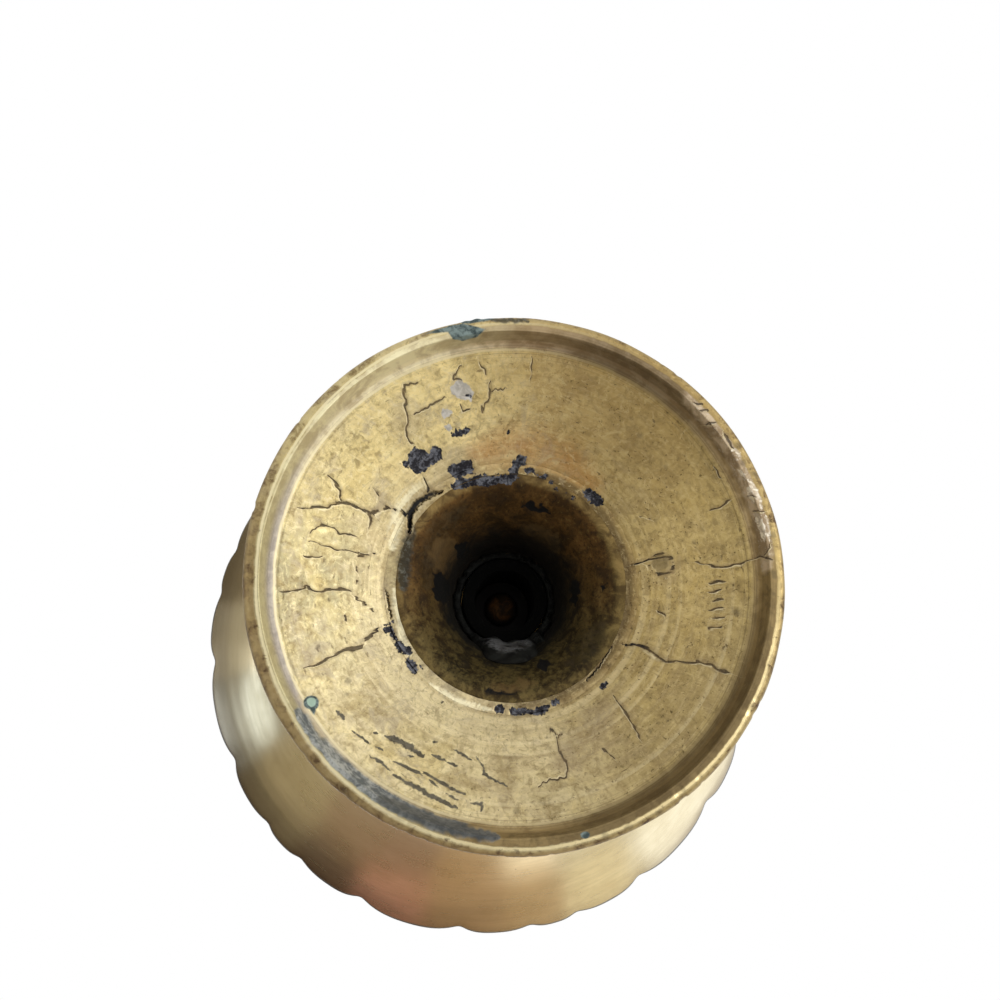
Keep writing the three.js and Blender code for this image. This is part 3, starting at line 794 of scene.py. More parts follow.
# wear: crazing along the borders of wobbling cells, scratches three ways, rings round the hole and,
# unrolled about the axis, strokes along and across the turning marks, dark specks and short flecks
def wearLayers(g):
    wire, place, radius, mottle, cloud = g.wire, g.place, g.radius, g.mottle, g.cloud
    dusty, lowSide = g.dusty, g.lowSide
    wobble = wire.make("ShaderNodeTexNoise", None, {"Vector": place, "Scale": 420, "Detail": 4}, "Color")
    moved = wire.make("ShaderNodeVectorMath", {"operation": "MULTIPLY_ADD"},
                      {0: wobble, 1: (0.005, 0.005, 0.005), 2: place})
    border = wire.make("ShaderNodeTexVoronoi", {"feature": "DISTANCE_TO_EDGE"},
                       {"Vector": moved, "Scale": 150}, "Distance")
    craze = border.ease(0.035, 0.012) * (g.broad * 0.5 + mottle * 0.6).ease(0.52, 0.66)
    scratch = 0.0
    for turn in (0.5, 1.6, 2.7):
        scratch = wire.drawnNoise(place, (1, 16, 1), 170, 3, 0.6, turn).ease(0.63, 0.72) + scratch
    smear = ragged(g, "smear", mottle=0.8).ease(1.2, 0.0)
    copper = wire.field("copper").ease(1.15, 0.0)
    brownRing = radius.ease(0.0228, 0.0206) * (1 - dusty * 0.5)
    sootRing = (radius + mottle * 0.0012 - 0.0006).ease(0.0212, 0.0201) * g.toSide.ease(0.008, -0.006)
    around = wire.maths("ARCTAN2", wire.part(place, "Y"), wire.part(place, "X")) * 0.026
    unroll = lambda wide, tall, level: wire.make(
        "ShaderNodeCombineXYZ", None, {0: around * wide, 1: radius * tall, 2: level})
    strokes = wire.noise(unroll(1.0, 3.6, 0.0), 330, 5, 0.68)
    hatch = wire.noise(unroll(3.6, 1.0, 0.0), 300, 5, 0.68)
    crumb = wire.noise(place, 560, 7, 0.72, 1.4)
    ashen = wire.noise(place, 190, 5, 0.7, 1.0).ease(0.53, 0.66) * dusty
    short = wire.noise(unroll(1.0, 3.2, 1.0), 420, 3, 0.6)
    g.speck = (g.grain + mottle * 0.25).ease(0.74, 0.82) * (1 - dusty * 0.6)
    g.fleck = (short + g.broad * 0.12).ease(0.735, 0.775) * (1 - dusty * 0.3)
    bareAndGlint = wire.field("bareAndGlint").ease(1.1, 0.1)
    return [
        (craze * 0.36, (112, 94, 58)),
        ((scratch * 0.28).least(0.4), dusty.blend((206, 184, 128), (232, 218, 176))),
        (smear * 0.55, (144, 125, 98)),
        (copper * (0.3 + mottle * 0.5), (190, 135, 72)),
        (brownRing * (0.25 + mottle * 0.55), (128, 100, 58)),
        (sootRing * 0.75, (78, 62, 36)),
        (strokes.ease(0.5, 0.68) * (0.28 + lowSide * 0.14), dusty.blend((206, 185, 134), (228, 214, 164))),
        (hatch.ease(0.5, 0.68) * (0.2 + lowSide * 0.14), dusty.blend((142, 122, 80), (160, 141, 98))),
        (strokes.ease(0.44, 0.3) * (0.14 + lowSide * 0.14), (128, 108, 70)),
        (crumb.ease(0.51, 0.64) * (0.5 - g.gilt * 0.2), dusty.blend((136, 116, 74), (158, 140, 100))),
        (crumb.ease(0.47, 0.36) * 0.45, dusty.blend((204, 182, 128), (236, 221, 168))),
        (ashen * 0.5, (166, 153, 130)),
        (g.speck * 0.75, (84, 68, 40)),
        (g.fleck * 0.7, (96, 80, 56)),
        # bare brass and painted highlight by the hole
        (bareAndGlint * (cloud * 0.6 + g.turning * 0.5).ease(0.4, 0.58) * 0.85, (255, 246, 208)),
    ]


# lip: a dark channel and land, a painted highlight along the ridge inside them, a bright crest that wanders
# and a brown outer round
def lipLayers(g):
    wire, radius, mottle, cloud, grain = g.wire, g.radius, g.mottle, g.cloud, g.grain
    dusty, lowSide, toSide, toTop = g.dusty, g.lowSide, g.toSide, g.toTop
    under, wander, scuffed = [wire.field(key) for key in ("under", "wander", "scuff")]
    shaken = radius + cloud * 0.0005 + mottle * 0.0008 - 0.00065
    rim = shaken - wander
    even = radius + mottle * 0.0004 - 0.0002
    dustAndLight = (toSide + g.broad * 0.01 - 0.005 + g.rising * 0.008).ease(0.004, 0.028)     # how full of dust, and how much painted light it takes
    # painted light: channel and land made pale on the upper side
    upper = g.rising * dustAndLight
    # its shaded stretch
    gloomy = toSide.ease(0.0, -0.014) * lowSide.most(toTop.ease(0.012, 0.03))
    atTop = toTop.ease(0.008, 0.03) * toSide.ease(-0.018, -0.003)
    short = lipBand(rim, "channelEnd") * under
    channel = lipBand(shaken + dustAndLight * 0.0002, "channel") * short
    inner = lipBand(even, "inner") * lipBand(even, "innerEnd") * under
    haze = ragged(g, "haze", mottle=0.8).ease(1.2, 0.3) * channel
    turned = wire.lineNoise(radius, 3400, 2).ease(0.52, 0.62) * lipBand(radius, "turned") * short
    land = lipBand(radius, "land") * lipBand(rim, "landEnd") * under
    # painted highlight along the ridge beside the channel
    line = abs(even - footPlate["ridge"][0] * mm).ease(0.00028, 0.00008) * under
    rubbed = scuffed.ease(1.4, 0.3) * land.most(channel * 0.4)
    scuff = (cloud * 0.45 + grain * 0.55).ease(0.53, 0.62) * scuffed.ease(1.1, 0.4)
    bare = ragged(g, "fleck", cloud=1.8, grain=1.6).ease(1.2, 0.5)
    crest = abs(even - wander - footPlate["crest"] * mm).ease(0.0003, 0.0001) * under
    outer = lipBand(even - wander, "outer")
    blot = (mottle * 0.7 + cloud * 0.5).ease(0.68, 0.75) * (1 - g.rising * dusty * 0.85)
    g.channel, g.land, g.scuff, g.crest = channel, land, scuff, crest
    channelTint = wire.paint(dustAndLight.blend((186, 162, 114), (228, 216, 184)), [
        (mottle.ease(0.4, 0.62) * 0.8, dustAndLight.blend((146, 123, 84), (204, 190, 162))),
        (toTop.ease(0.012, 0.036) * (0.75 - dustAndLight * 0.75),
         mottle.fade(0.36, 0.6, (226, 202, 172), (172, 146, 116))),
        (upper, mottle.fade(0.4, 0.6, (254, 243, 206), (212, 196, 160)))])
    landTint = wire.paint(dustAndLight.blend((136, 115, 74), (208, 198, 148)), [
        ((cloud * 0.5 + mottle * 0.5).ease(0.42, 0.6), dustAndLight.blend((104, 87, 55), (186, 174, 128))),
        (gloomy * 0.7, (72, 59, 37)),
        (atTop * (0.6 - dustAndLight * 0.6), (166, 143, 104)),
        (upper * 0.8, mottle.fade(0.4, 0.62, (254, 244, 204), (224, 208, 168)))])
    crestTint = dusty.blend(lowSide.blend((156, 133, 88), (250, 228, 170)), (246, 233, 188))
    outerTint = wire.paint(dusty.blend((166, 144, 95), (142, 117, 70)), [
        (g.rising * dusty, (198, 182, 136)),
        ((mottle * 0.6 + cloud * 0.5).ease(0.5, 0.66), dusty.blend((112, 91, 57), (106, 82, 50)))])
    return [
        (channel * 0.9, channelTint),
        (channel * grain.ease(0.58, 0.7) * 0.4, dustAndLight.blend((178, 158, 124), (238, 228, 204))),
        (inner * gloomy * 0.65, (90, 74, 45)),
        (haze * (0.8 - upper * 0.7), cloud.fade(0.35, 0.65, (196, 188, 180), (168, 160, 156))),
        (turned * (0.28 - dustAndLight * 0.2), (78, 63, 38)),
        (land * (0.7 + upper * 0.3), landTint),
        (line * (0.25 + dusty * (0.2 + cloud * 0.5)), dusty.blend((190, 168, 118), (238, 226, 186))),
        (rubbed * 0.85, mottle.fade(0.4, 0.6, (212, 192, 162), (158, 137, 108))),
        (land * scuff * 0.6, (206, 194, 176)),
        (bare * 0.85, cloud.fade(0.4, 0.6, (250, 242, 222), (196, 182, 160))),
        (crest * (0.2 + cloud * 0.4 + dusty.most(lowSide) * 0.4), crestTint),
        (outer * (0.6 + mottle * 0.4) * (1 - upper * 0.3), outerTint),
        (lipBand(rim, "blots") * blot * 0.7, (74, 52, 36)),
    ]


# upper face: turned brass gone brown in patches, darker towards the cone
def topLayers(g):
    g.top = g.wire.field("top")
    patchy = (g.broad * 0.5 + g.mottle * 0.6 - 0.05).fade(0.34, 0.66, (196, 166, 104), (146, 118, 70))
    return [(g.top * 0.92, g.wire.paint(patchy, [
        (g.turning.ease(0.42, 0.7) * 0.4, (112, 88, 50)),
        (g.radius.ease(0.0275, 0.0235) * (0.3 + g.mottle * 0.5), (92, 70, 40)),
        (g.cloud.ease(0.56, 0.7) * 0.4, (96, 74, 44))]))]


# old brass of the foot, and with seam the darker one of the solder round its hole
def makeFootFinish(name, seam=False):
    material, wire, place, radius = newFinish(name)
    g = footGround(wire, place, radius)
    layers = metalLayers(g) + wearLayers(g) + lipLayers(g) + topLayers(g)
    if seam:
        layers.append(((g.mottle * 0.7 + g.cloud * 0.5).ease(0.55, 0.8) * 0.45, (74, 58, 38)))
    colour = wire.paint(g.dusty.blend((186, 163, 105), (208, 193, 142)), layers + markLayers(g))
    metallic = (1 - g.dull) * (0.6 + g.top * 0.32)
    rough = 0.4 - g.top * 0.08 + g.cloud * 0.2 + g.dull * 0.2
    rough = rough + g.channel * 0.12 - g.crest * 0.15 - g.land * g.scuff * 0.2
    relief = g.turning * 0.3 + g.grain * 0.35 + g.cloud * 0.7 + g.mottle * 0.5
    relief = relief - g.crack * 2.0 - g.speck * 0.4 - g.fleck * 0.6
    closeFinish(wire, colour, metallic, rough, wire.bump(relief, 0.00008, 0.9), 0.3)
    return material


# how closely the plate's rings lie: closest on the face that the photo shows, then on the lip's edge
def footFocus(r, z):
    shown = (z < 15.3) & (z < 22.2 - 0.44 * r) & (r < 38)
    return np.where(shown, 4.5, np.where((r > 37.5) & (z < 3.4), 2.6, 0.7))


# mm that flaked patches and cracks are sunk into a face
def sunkFlakes(marks):
    return footPlate["chipDepth"] * smooth(marks["chip"], 1.0, -1.5)


def sunkCracks(marks):
    return footPlate["crackDepth"] * smooth(marks["crackNear"], 1.8, 0.4)


# turned plate; its relief sums uneven turning, the ridge, nicks in the lip, sunk marks and crusts
def makeFootPlate():
    p = footPlate
    rings = layRings(footOutline, p["rings"], p["rounding"], footFocus, p["bendRings"])
    theta = angles(p["facets"])
    around, run = theta[:, None], runAlong(rings)[None, :]
    r, z = rings.T[:, None, :]
    points = turnedPoints(rings, theta)
    marks = footFields(points, facesLens(rings, theta, points) > p["leastFacing"], around, run)
    knots = angles(len(p["wander"])) + np.arctan2(viewRight[1], viewRight[0])
    marks["wander"] = mm * np.interp(around, knots, p["wander"], period=2 * np.pi)
    upright = ringNormals(rings)[None, :, 1]
    marks["under"] = upright < 0.3
    marks["top"] = smooth(upright, 0.1, 0.5)
    middle, half, tall = p["ridge"]
    edge = smooth(r, 39.6, 41.4) * smooth(z, 5.4, 3.0)
    lumps = waves(around, run, *p["crustWaves"])
    relief = p["unevenness"] * waves(around, run, *p["unevenWaves"])
    relief = relief + marks["under"] * tall * np.exp(-((r - middle) / half) ** 2)
    relief = relief - p["lipNicks"] * edge * smooth(waves(around, run, *p["nickWaves"]), 1.2, 2.4)
    relief = relief - sunkFlakes(marks) - sunkCracks(marks)
    relief = relief - p["dashDepth"] * smooth(marks["dash"], 1.3, 0.6)
    relief = relief + p["crust"] * smooth(marks["green"], 1.5, -2.5) * (0.7 + 0.3 * lumps)
    relief = relief + p["deposit"] * smooth(marks["deposit"], 1.0, 0.6) * (0.8 + 0.2 * lumps)
    points = turnedPoints(rings, theta, relief)
    points[..., 2] = np.maximum(points[..., 2], 0)
    putPiece("footPlate", "foot_plate", makeFootFinish("oldBrassFinish"), points, marks)


# ring of solder in the seam round the hole, worn level with the plate and patched like it

footSeam = {
    "facets": 720, "rings": 48, "rounding": 0.03,
    "lumps": 0.02, "lumpWaves": (61, 40, 60, 0.3),
    "openSeam": 1.1,         # mm, how far it has sunk where the seam is open
}
seamOutline = joinLegs((19.47, 14.98), sweepLeg((19.47, 14.98), (20.6, 14.95), (21.45, 14.785)),
                       (21.2, 15.05), (19.74, 16.48), (19.56, 16.3), (19.56, 15.1))


# turned ring; only its lower face is lumpy, flaked and sunk
def makeFootSeam():
    rings = layRings(seamOutline, footSeam["rings"], footSeam["rounding"])
    theta = angles(footSeam["facets"])
    around, run = theta[:, None], runAlong(rings)[None, :]
    marks = footFields(turnedPoints(rings, theta), True, around, run)
    marks["under"] = 1.0
    bottom = smooth(rings[None, :, 1], 15.4, 15.0)
    relief = footSeam["lumps"] * bottom * waves(around, run, *footSeam["lumpWaves"]) - sunkFlakes(marks)
    points = turnedPoints(rings, theta, relief)
    points[..., 2] += footSeam["openSeam"] * bottom * smooth(marks["crackNear"], 1.6, 0.5)
    putPiece("footSeamSolder", "foot_seam_solder", makeFootFinish("seamFinish", True),
             points, marks)


# stem cone

stemCone = {
    "facets": 600, "rings": 150, "rounding": 0.05,
    "unevenness": 0.06, "unevenWaves": (21, 40, 18, 0.25),
    "patchDepth": 0.12,      # mm
    "shake": 1.2,            # px that the marks on its wall are shaken by
    "shakeWaves": [(73, 40, 60, 0.4), (74, 40, 60, 0.4)],
    "markReach": 40,         # px round the soft bands that count
}
innerLeg = sweepLeg((9.75, 33.75), (9.75, 22.6), (16.3, 16.47))     # its wall as the photo shows it
coneOutline = joinLegs(
    (19.55, 15), (19.55, 17.65), (22.2, 17.65), beadLeg(22.2, 17.65, 19.85, 1.1), (19.55, 19.85),
    sweepLeg((19.55, 19.85), (12.75, 24.25), (10.55, 37.05)), beadLeg(10.55, 37.05, 39.65, 1.3),
    (8.05, 39.65), (8.05, 35.45), innerLeg, sweepLeg((16.3, 16.47), (17.85, 15.0), (19.55, 15.0)))
coneDark = [
    [(520, 505), (529, 502), (538, 504), (547, 508), (552, 514), (543, 512), (534, 510), (526, 509)],
    [(434, 573), (441, 571), (446, 578), (450, 584), (448, 597), (445, 606), (438, 600), (434, 590)],
    [(456, 545), (463, 539), (469, 543), (467, 552), (461, 560), (456, 556)],
    [(572, 578), (578, 580), (579, 592), (576, 605), (571, 602), (570, 590)],
    [(601, 585), (606, 583), (608, 588), (603, 591)],
    [(487, 690), (498, 688), (512, 692), (519, 691), (518, 696), (502, 695), (489, 695)],
    [(535, 662), (546, 659), (553, 664), (545, 671), (537, 669)],
    [(586, 681), (594, 673), (602, 664), (606, 666), (598, 676), (590, 683)],
]
coneTan = [roundPatch(445, 555, 14, 18), roundPatch(525, 684, 7, 5), roundPatch(540, 540, 22, 14, 30),
           roundPatch(505, 689, 16, 4)]
# painted shade in soft bands on the inner wall: half width in px, then the path
coneShadeBands = [(17.0, [(428, 585), (430, 552), (444, 525), (462, 508)]),
             (15.0, [(602, 622), (590, 645), (570, 664)])]
coneEdge = [(13.0, [(600, 515), (616, 545), (624, 580), (625, 612), (618, 642), (604, 664)])]


# brown brass outside; inside it is painted darker and goes black towards the neck, as soot and painted
# shade, and carries the foot's marks at its edge
def makeConeFinish():
    material, wire, place, radius = newFinish("brownBrassFinish")
    height = wire.part(place, "Z")
    broad = wire.noise(place, 90, 3, 0.5)
    mottle = wire.noise(place, 320, 5, 0.65, 0.6)
    cloud = wire.noise(place, 800, 4, 0.62, 0.6)
    grain = wire.noise(place, 1700, 3, 0.65)
    turning = wire.lineNoise(height, 1400, 4)
    g = SimpleNamespace(wire=wire, radius=radius, mottle=mottle, cloud=cloud, grain=grain)
    inside = wire.field("inside")
    low = wire.towards(place, topSide).ease(0.004, -0.016)
    # painted shade where those bands lie
    shadeBand = ragged(g, "shadeBand", mottle=0.6).ease(1.3, 0.2)
    tan = ragged(g, "tan", mottle=9).ease(3.0, -3.0)
    band = ragged(g, "band", mottle=0.5).ease(1.2, 0.2)
    patch = ragged(g, "dark", mottle=8, cloud=5).ease(0.8, -0.8)
    # soot and painted shade: black towards the neck
    sootAndShade = (height + mottle * 0.008 - 0.004).ease(0.0172, 0.0262)
    worn = (height + cloud * 0.0005 - 0.00025).ease(0.0155, 0.01505)       # thin edge at the hole
    # inside wall painted darker brown, partly as shade
    wall = wire.paint((broad * 0.5 + mottle * 0.7 - 0.1).fade(0.34, 0.66, (100, 72, 36), (54, 37, 16)), [
        (low * 0.85, (mottle * 0.6 + cloud * 0.4).fade(0.42, 0.58, (90, 80, 48), (34, 29, 15))),
        (grain.ease(0.54, 0.64) * 0.5, (20, 15, 7)),
        (grain.ease(0.42, 0.3) * 0.35, (126, 107, 60)),
        (shadeBand * 0.6, cloud.fade(0.4, 0.65, (30, 24, 12), (66, 57, 40))),
        (tan * 0.5, (122, 98, 62)),
        (band * 0.7, mottle.fade(0.35, 0.65, (126, 109, 64), (92, 78, 45))),
        (patch, (11, 9, 8)),
        (sootAndShade * 0.95, (11, 10, 7)),
        (worn * (0.8 - low * 0.6), mottle.fade(0.35, 0.65, (156, 132, 82), (96, 77, 46)))])
    aboveFlange = height.ease(0.0245, 0.0205) * height.ease(0.0186, 0.0196)
    colour = wire.paint((broad * 0.6 + mottle * 0.6 - 0.1).fade(0.34, 0.7, (184, 152, 94), (126, 98, 56)), [
        (turning.ease(0.42, 0.7) * 0.4, (98, 75, 42)),
        (aboveFlange * (0.3 + mottle * 0.5), (70, 53, 31)),
        (grain.ease(0.58, 0.7) * 0.4, (66, 50, 29)),
        (inside, wall)] + markLayers(g))
    dull = mottle.ease(0.55, 0.75) * 0.5 * (1 - inside) + mottle.ease(0.5, 0.7) * inside
    dull = dull.most((patch.most(sootAndShade) * inside).most(g.dull))
    rough = 0.34 + inside * 0.16 + mottle * 0.2 + dull * 0.15
    relief = (grain * 0.5 + mottle * 0.8 + cloud * 0.5) * (0.4 + inside * 0.6)
    metallic = (1 - dull) * (0.9 - inside * 0.35)
    closeFinish(wire, colour, metallic, rough, wire.bump(relief, 0.00016, 0.9), 0.15)
    return material


# turned trumpet; the uneven wall grows in from its edge, and dark patches, flakes and cracks are sunk in
def makeStemCone():
    rings = layRings(coneOutline, stemCone["rings"], stemCone["rounding"])
    theta = angles(stemCone["facets"])
    around, run = theta[:, None], runAlong(rings)[None, :]
    points = turnedPoints(rings, theta)
    shape = points.shape[:2]
    pixels = [(p + stemCone["shake"] * waves(around, run, *how)).ravel()
              for p, how in zip(photoPixels(points), stemCone["shakeWaves"])]
    out = ringNormals(rings)
    facing = (out[:, 0] < -0.05) | (out[:, 1] < -0.2)
    inside = (facing & (rings[:, 1] < 36) & (rings[:, 0] < 19.56))[None, :]
    hide = lambda field, far: np.where(inside, field.reshape(shape), far)
    marks = footFields(points, inside, around, run)
    for key, patches in (("dark", coneDark), ("tan", coneTan)):
        marks[key] = hide(patchField(*pixels, patches), markReach)
    for key, strokes in (("band", coneEdge), ("shadeBand", coneShadeBands)):
        marks[key] = hide(strokeFields(*pixels, strokes, stemCone["markReach"])[0], offStroke)
    marks["inside"] = inside
    deep = smooth(rings[None, :, 1], 15.0, 17.5) * np.where(inside, 1.0, 0.25)
    relief = stemCone["unevenness"] * waves(around, run, *stemCone["unevenWaves"]) * deep
    relief = relief - sunkFlakes(marks) - sunkCracks(marks)
    relief = relief - stemCone["patchDepth"] * smooth(marks["dark"], 2, -3)
    points = turnedPoints(rings, theta, relief)
    putPiece("stemCone", "stem_cone", makeConeFinish(), points, marks)


# stem

stem = {"facets": 360, "rings": 190, "rounding": 0.14, "unevenness": 0.02, "unevenWaves": (31, 30, 9, 0.15)}
stemOutline = joinLegs(
    (5.6, 32.9), (7.8, 32.9), (7.8, 39.9), (10.55, 39.9), (10.55, 41.3),
    cornerLeg((10.55, 41.3), (8.6, 41.3), (8.6, 42.0)), beadLeg(8.6, 42, 55, 5), beadLeg(8.6, 55, 57, 1.1),
    (6.8, 57), sweepLeg((6.8, 57), (6.8, 66.5), (14.4, 68.5)), (14.4, 69.9), (2.45, 69.9), (2.45, 46.5),
    (5.6, 46.5))


# turned brass, browner in its hollows, black on the tenon and in its bore as soot and painted shade
def makeStemFinish():
    material, wire, place, radius = newFinish("stemBrassFinish")
    height = wire.part(place, "Z")
    broad = wire.noise(place, 60, 3, 0.5)
    mottle = wire.noise(place, 260, 4, 0.6, 0.4)
    grain = wire.noise(place, 1500, 3, 0.6)
    turning = wire.lineNoise(height, 1500, 4)
    hollow = (radius - 0.0092).ease(0.0012, -0.0012) * mottle.ease(0.3, 0.6)
    bore = radius.ease(0.0062, 0.0058) * height.ease(0.0475, 0.0465)
    # soot and painted shade on the tenon and in the bore
    sootAndShade = (height + mottle * 0.001).ease(0.0405, 0.0396).most(bore)
    brass = (broad * 0.9 + mottle * 0.6 - 0.3).fade(0.3, 0.85, (208, 182, 124), (168, 142, 88))
    colour = wire.paint(brass, [
        (turning.ease(0.4, 0.75) * 0.25, (140, 114, 66)),
        (hollow * 0.5, (96, 74, 42)),
        (grain.ease(0.66, 0.74) * 0.4, (88, 70, 42)),
        (sootAndShade, mottle.fade(0.4, 0.65, (4, 4, 3), (10, 10, 9)))])
    rough = 0.34 + mottle * 0.16 + hollow * 0.15 + sootAndShade * 0.45
    relief = turning * 0.3 + grain * 0.2 + mottle * 0.4
    metallic = (0.9 - hollow * 0.4) * (1 - sootAndShade)
    closeFinish(wire, colour, metallic, rough, wire.bump(relief, 0.00005, 0.7), 0.08)
    return material


# a plain turned piece: its outline's rings, pushed out and in by its waves
def makeTurned(name, nodeName, size, outline, finish, acrossRadius=False):
    rings = layRings(outline, size["rings"], size["rounding"])
    theta = angles(size["facets"])
    along = rings[:, 0] if acrossRadius else runAlong(rings)
    relief = size["unevenness"] * waves(theta[:, None], along[None, :], *size["unevenWaves"])
    putPiece(name, nodeName, finish, turnedPoints(rings, theta, relief))


# rivet through the bowl, and its washer

rivet = {
    "facets": 96, "dents": 0.05, "dentWaves": (41, 24, 6, 0.3),
    "headFrom": 72.6, "endBelow": 44.8,      # mm, heights of its two dented ends
}
rivetOutline = joinLegs(
    cornerLeg((0, 43.5), (3.3, 43.5), (3.3, 45.0), 16), (2.35, 45.0), (2.2, 45.15),
    np.linspace((2.2, 46), (2.2, 71.8), 20), (2.2, 72.05), (2.35, 72.2), (6.2, 72.2), (6.38, 72.3),
    cornerLeg((6.4, 72.45), (6.4, 74.8), (0, 74.8), 30))
washer = {"facets": 120, "rings": 60, "rounding": 0.08, "unevenness": 0.02, "unevenWaves": (43, 20, 5, 0.2)}
washerOutline = joinLegs((2.45, 45.25), (5.35, 45.25), (5.35, 46.25), (2.45, 46.25))


# bright in the bowl, brown at the end that shows up the bore and black towards its edge, as soot and
# painted shade
def makeRivetFinish(name):
    material, wire, place, radius = newFinish(name)
    mottle = wire.noise(place, 320, 5, 0.65, 0.6)
    grain = wire.noise(place, 1700, 3, 0.65)
    hidden = wire.part(place, "Z").ease(0.06, 0.05)
    deep = mottle.fade(0.4, 0.6, (96, 63, 28), (42, 28, 13))
    colour = wire.paint(mottle.fade(0.3, 0.7, (196, 166, 106), (140, 112, 66)), [
        (grain.ease(0.58, 0.7) * 0.5, (60, 46, 28)),
        # soot and painted shade deep in the bore
        (hidden, radius.fade(0.0017, 0.0029, deep, (15, 12, 9)))])
    rough = 0.35 + mottle * 0.2 + hidden * 0.2
    relief = mottle + grain * 0.4
    closeFinish(wire, colour, 0.8 - hidden * 0.75, rough, wire.bump(relief, 0.0001, 0.7), 0.12)
    return material


# an outline that starts and ends on the axis: rings between, and a fan of faces round each pole; its two
# ends are dented
def makeRivet():
    rings = rivetOutline[1:-1]
    theta = angles(rivet["facets"])
    r, z = rings.T[:, None, :]
    ends = ((z > rivet["headFrom"]) | (z < rivet["endBelow"])) * smooth(r, 0.3, 1.5)
    dents = rivet["dents"] * ends * waves(theta[:, None], r, *rivet["dentWaves"])
    points = turnedPoints(rings, theta, dents)
    nAngle, nRing = points.shape[:2]
    poles = np.array([[0, 0, rivetOutline[0, 1]], [0, 0, rivetOutline[-1, 1]]])
    first = np.arange(nAngle) * nRing
    second = np.roll(first, -1)
    low = np.stack([np.full(nAngle, nAngle * nRing), second, first], 1)
    high = np.stack([first + nRing - 1, second + nRing - 1, np.full(nAngle, nAngle * nRing + 1)], 1)
    faces = gridFaces(nAngle, nRing, closed=False) + low.tolist() + high.tolist()
    points = np.vstack([points.reshape(-1, 3), poles])
    putPiece("bowlRivet", "bowl_rivet", makeRivetFinish("rivetFinish"), points, None, faces)


# solder rings

solder = {
    "facets": 360, "rings": 48, "rounding": 0.1,
    "lumps": 0.2,            # mm
    "lumpWaves": (30, 40, 0.2),
    "sunk": 0.6,             # how far the lumps lie in rather than out
    "proudest": 0.12,        # mm
}
bowlSolderOutline = joinLegs((14.65, 68.8), sweepLeg((14.65, 68.8), (15.0, 69.55), (16.85, 69.9)),
                             (14.65, 69.9))
stemSolderOutline = joinLegs((8.05, 33.75), sweepLeg((8.05, 33.75), (8.723, 33.05), (9.396, 33.75)),
                             (8.05, 35.096))
# the run down the cone's wall
solderRun = {
    "angle": 243, "spread": 36,        # degrees
    "down": 13.2, "thick": 2.2,        # mm
    "skin": (0.12, 0.06),              # mm from the wall at its tip, front and back
    "wobble": 0.05, "wobbleWaves": (64, 12, 24, 0.1),
    "bumps": 0.1, "bumpWaves": (65, 16, 14, 0.9),
}


# grey and shiny where it is clean, near black elsewhere as soot and painted shade if it lies in the cone
def makeSolderFinish(name, sootyAndShaded):
    material, wire, place, radius = newFinish(name)
    mottle = wire.noise(place, 400, 4, 0.6, 0.5)
    grain = wire.noise(place, 1800, 3, 0.6)
    clean = ragged(SimpleNamespace(wire=wire, mottle=mottle, grain=grain), "run", mottle=1.6, grain=0.8)
    clean = clean.ease(0.35, 0.95)
    colour = mottle.fade(0.35, 0.65, (178, 178, 178), (70, 69, 66))
    colour = (grain.ease(0.58, 0.7) * 0.6).blend(colour, (40, 38, 34))
    if sootyAndShaded:
        # soot and painted shade where it is not clean
        colour = clean.blend(mottle.fade(0.35, 0.7, (13, 12, 10), (34, 35, 32)), colour)
    rough = 0.62 - clean * 0.34 + mottle * 0.2
    relief = mottle * 0.8 + grain * 0.3
    closeFinish(wire, colour, 0.1 + clean * 0.7, rough, wire.bump(relief, 0.00012, 0.8), 0.1)
    return material


# near one angle the free face is drawn down the cone's wall as a rounded lump, its thickness the root of
# one less the cube of the way down, and the back face is laid on the wall; gives where the solder is clean
def drawRun(points, rings, theta, inner):
    turn = np.angle(np.exp(1j * (theta - np.radians(solderRun["angle"]))))
    turn = turn + solderRun["wobble"] * waves(theta, 0 * theta, *solderRun["wobbleWaves"])
    share = turn[:, None] / np.radians(solderRun["spread"])
    r, z = rings.T
    front = ringNormals(rings)[:, 1] < 0
    way = np.where(front, (r - inner) / (r.max() - inner), 1 - (z - z.min()) / (z.max() - z.min()))
    way = np.clip(way, 0, 1) * smooth(r, inner, inner + 0.15)
    bell = np.exp(-share ** 4) * np.where(front, 1.0, way ** 2)
    depth = z - solderRun["down"] * way
    tip, back = solderRun["skin"]
    thick = np.where(front, tip + solderRun["thick"] * np.sqrt(np.maximum(0, 1 - way ** 3)), back)
    bumps = 1 + solderRun["bumps"] * waves(theta[:, None], way[None, :], *solderRun["bumpWaves"])
    wall = np.interp(depth, innerLeg[::-1, 1], innerLeg[::-1, 0]) - thick * bumps
    far = np.hypot(points[..., 0], points[..., 1])
    points[..., 2] += (depth - points[..., 2]) * bell
    points[..., :2] *= ((far + (wall - far) * bell) / far)[..., None]
    bared = smooth(way, 0.15, 0.5) * smooth(way, 0.98, 0.7)
    return np.exp(-(share / 0.95) ** 2) * np.where(front, bared, 0)


# turned ring, lumpy where it is free
def makeSolder(name, nodeName, outline, seed, finish, inCone):
    rings = layRings(outline, solder["rings"], solder["rounding"])
    theta = angles(solder["facets"])
    inner = outline[:, 0].min()
    free = smooth(rings[:, 0], inner + 0.1, inner + 0.7)[None, :]
    if not inCone:
        free = free * smooth(rings[:, 1], outline[:, 1].max(), outline[:, 1].min())[None, :]
    lumps = waves(theta[:, None], rings[None, :, 1], seed, *solder["lumpWaves"]) - solder["sunk"]
    points = turnedPoints(rings, theta, np.minimum(solder["lumps"] * free * lumps, solder["proudest"]))
    clean = drawRun(points, rings, theta, inner) if inCone else 0.0
    putPiece(name, nodeName, finish, points, {"run": clean})


# bowl

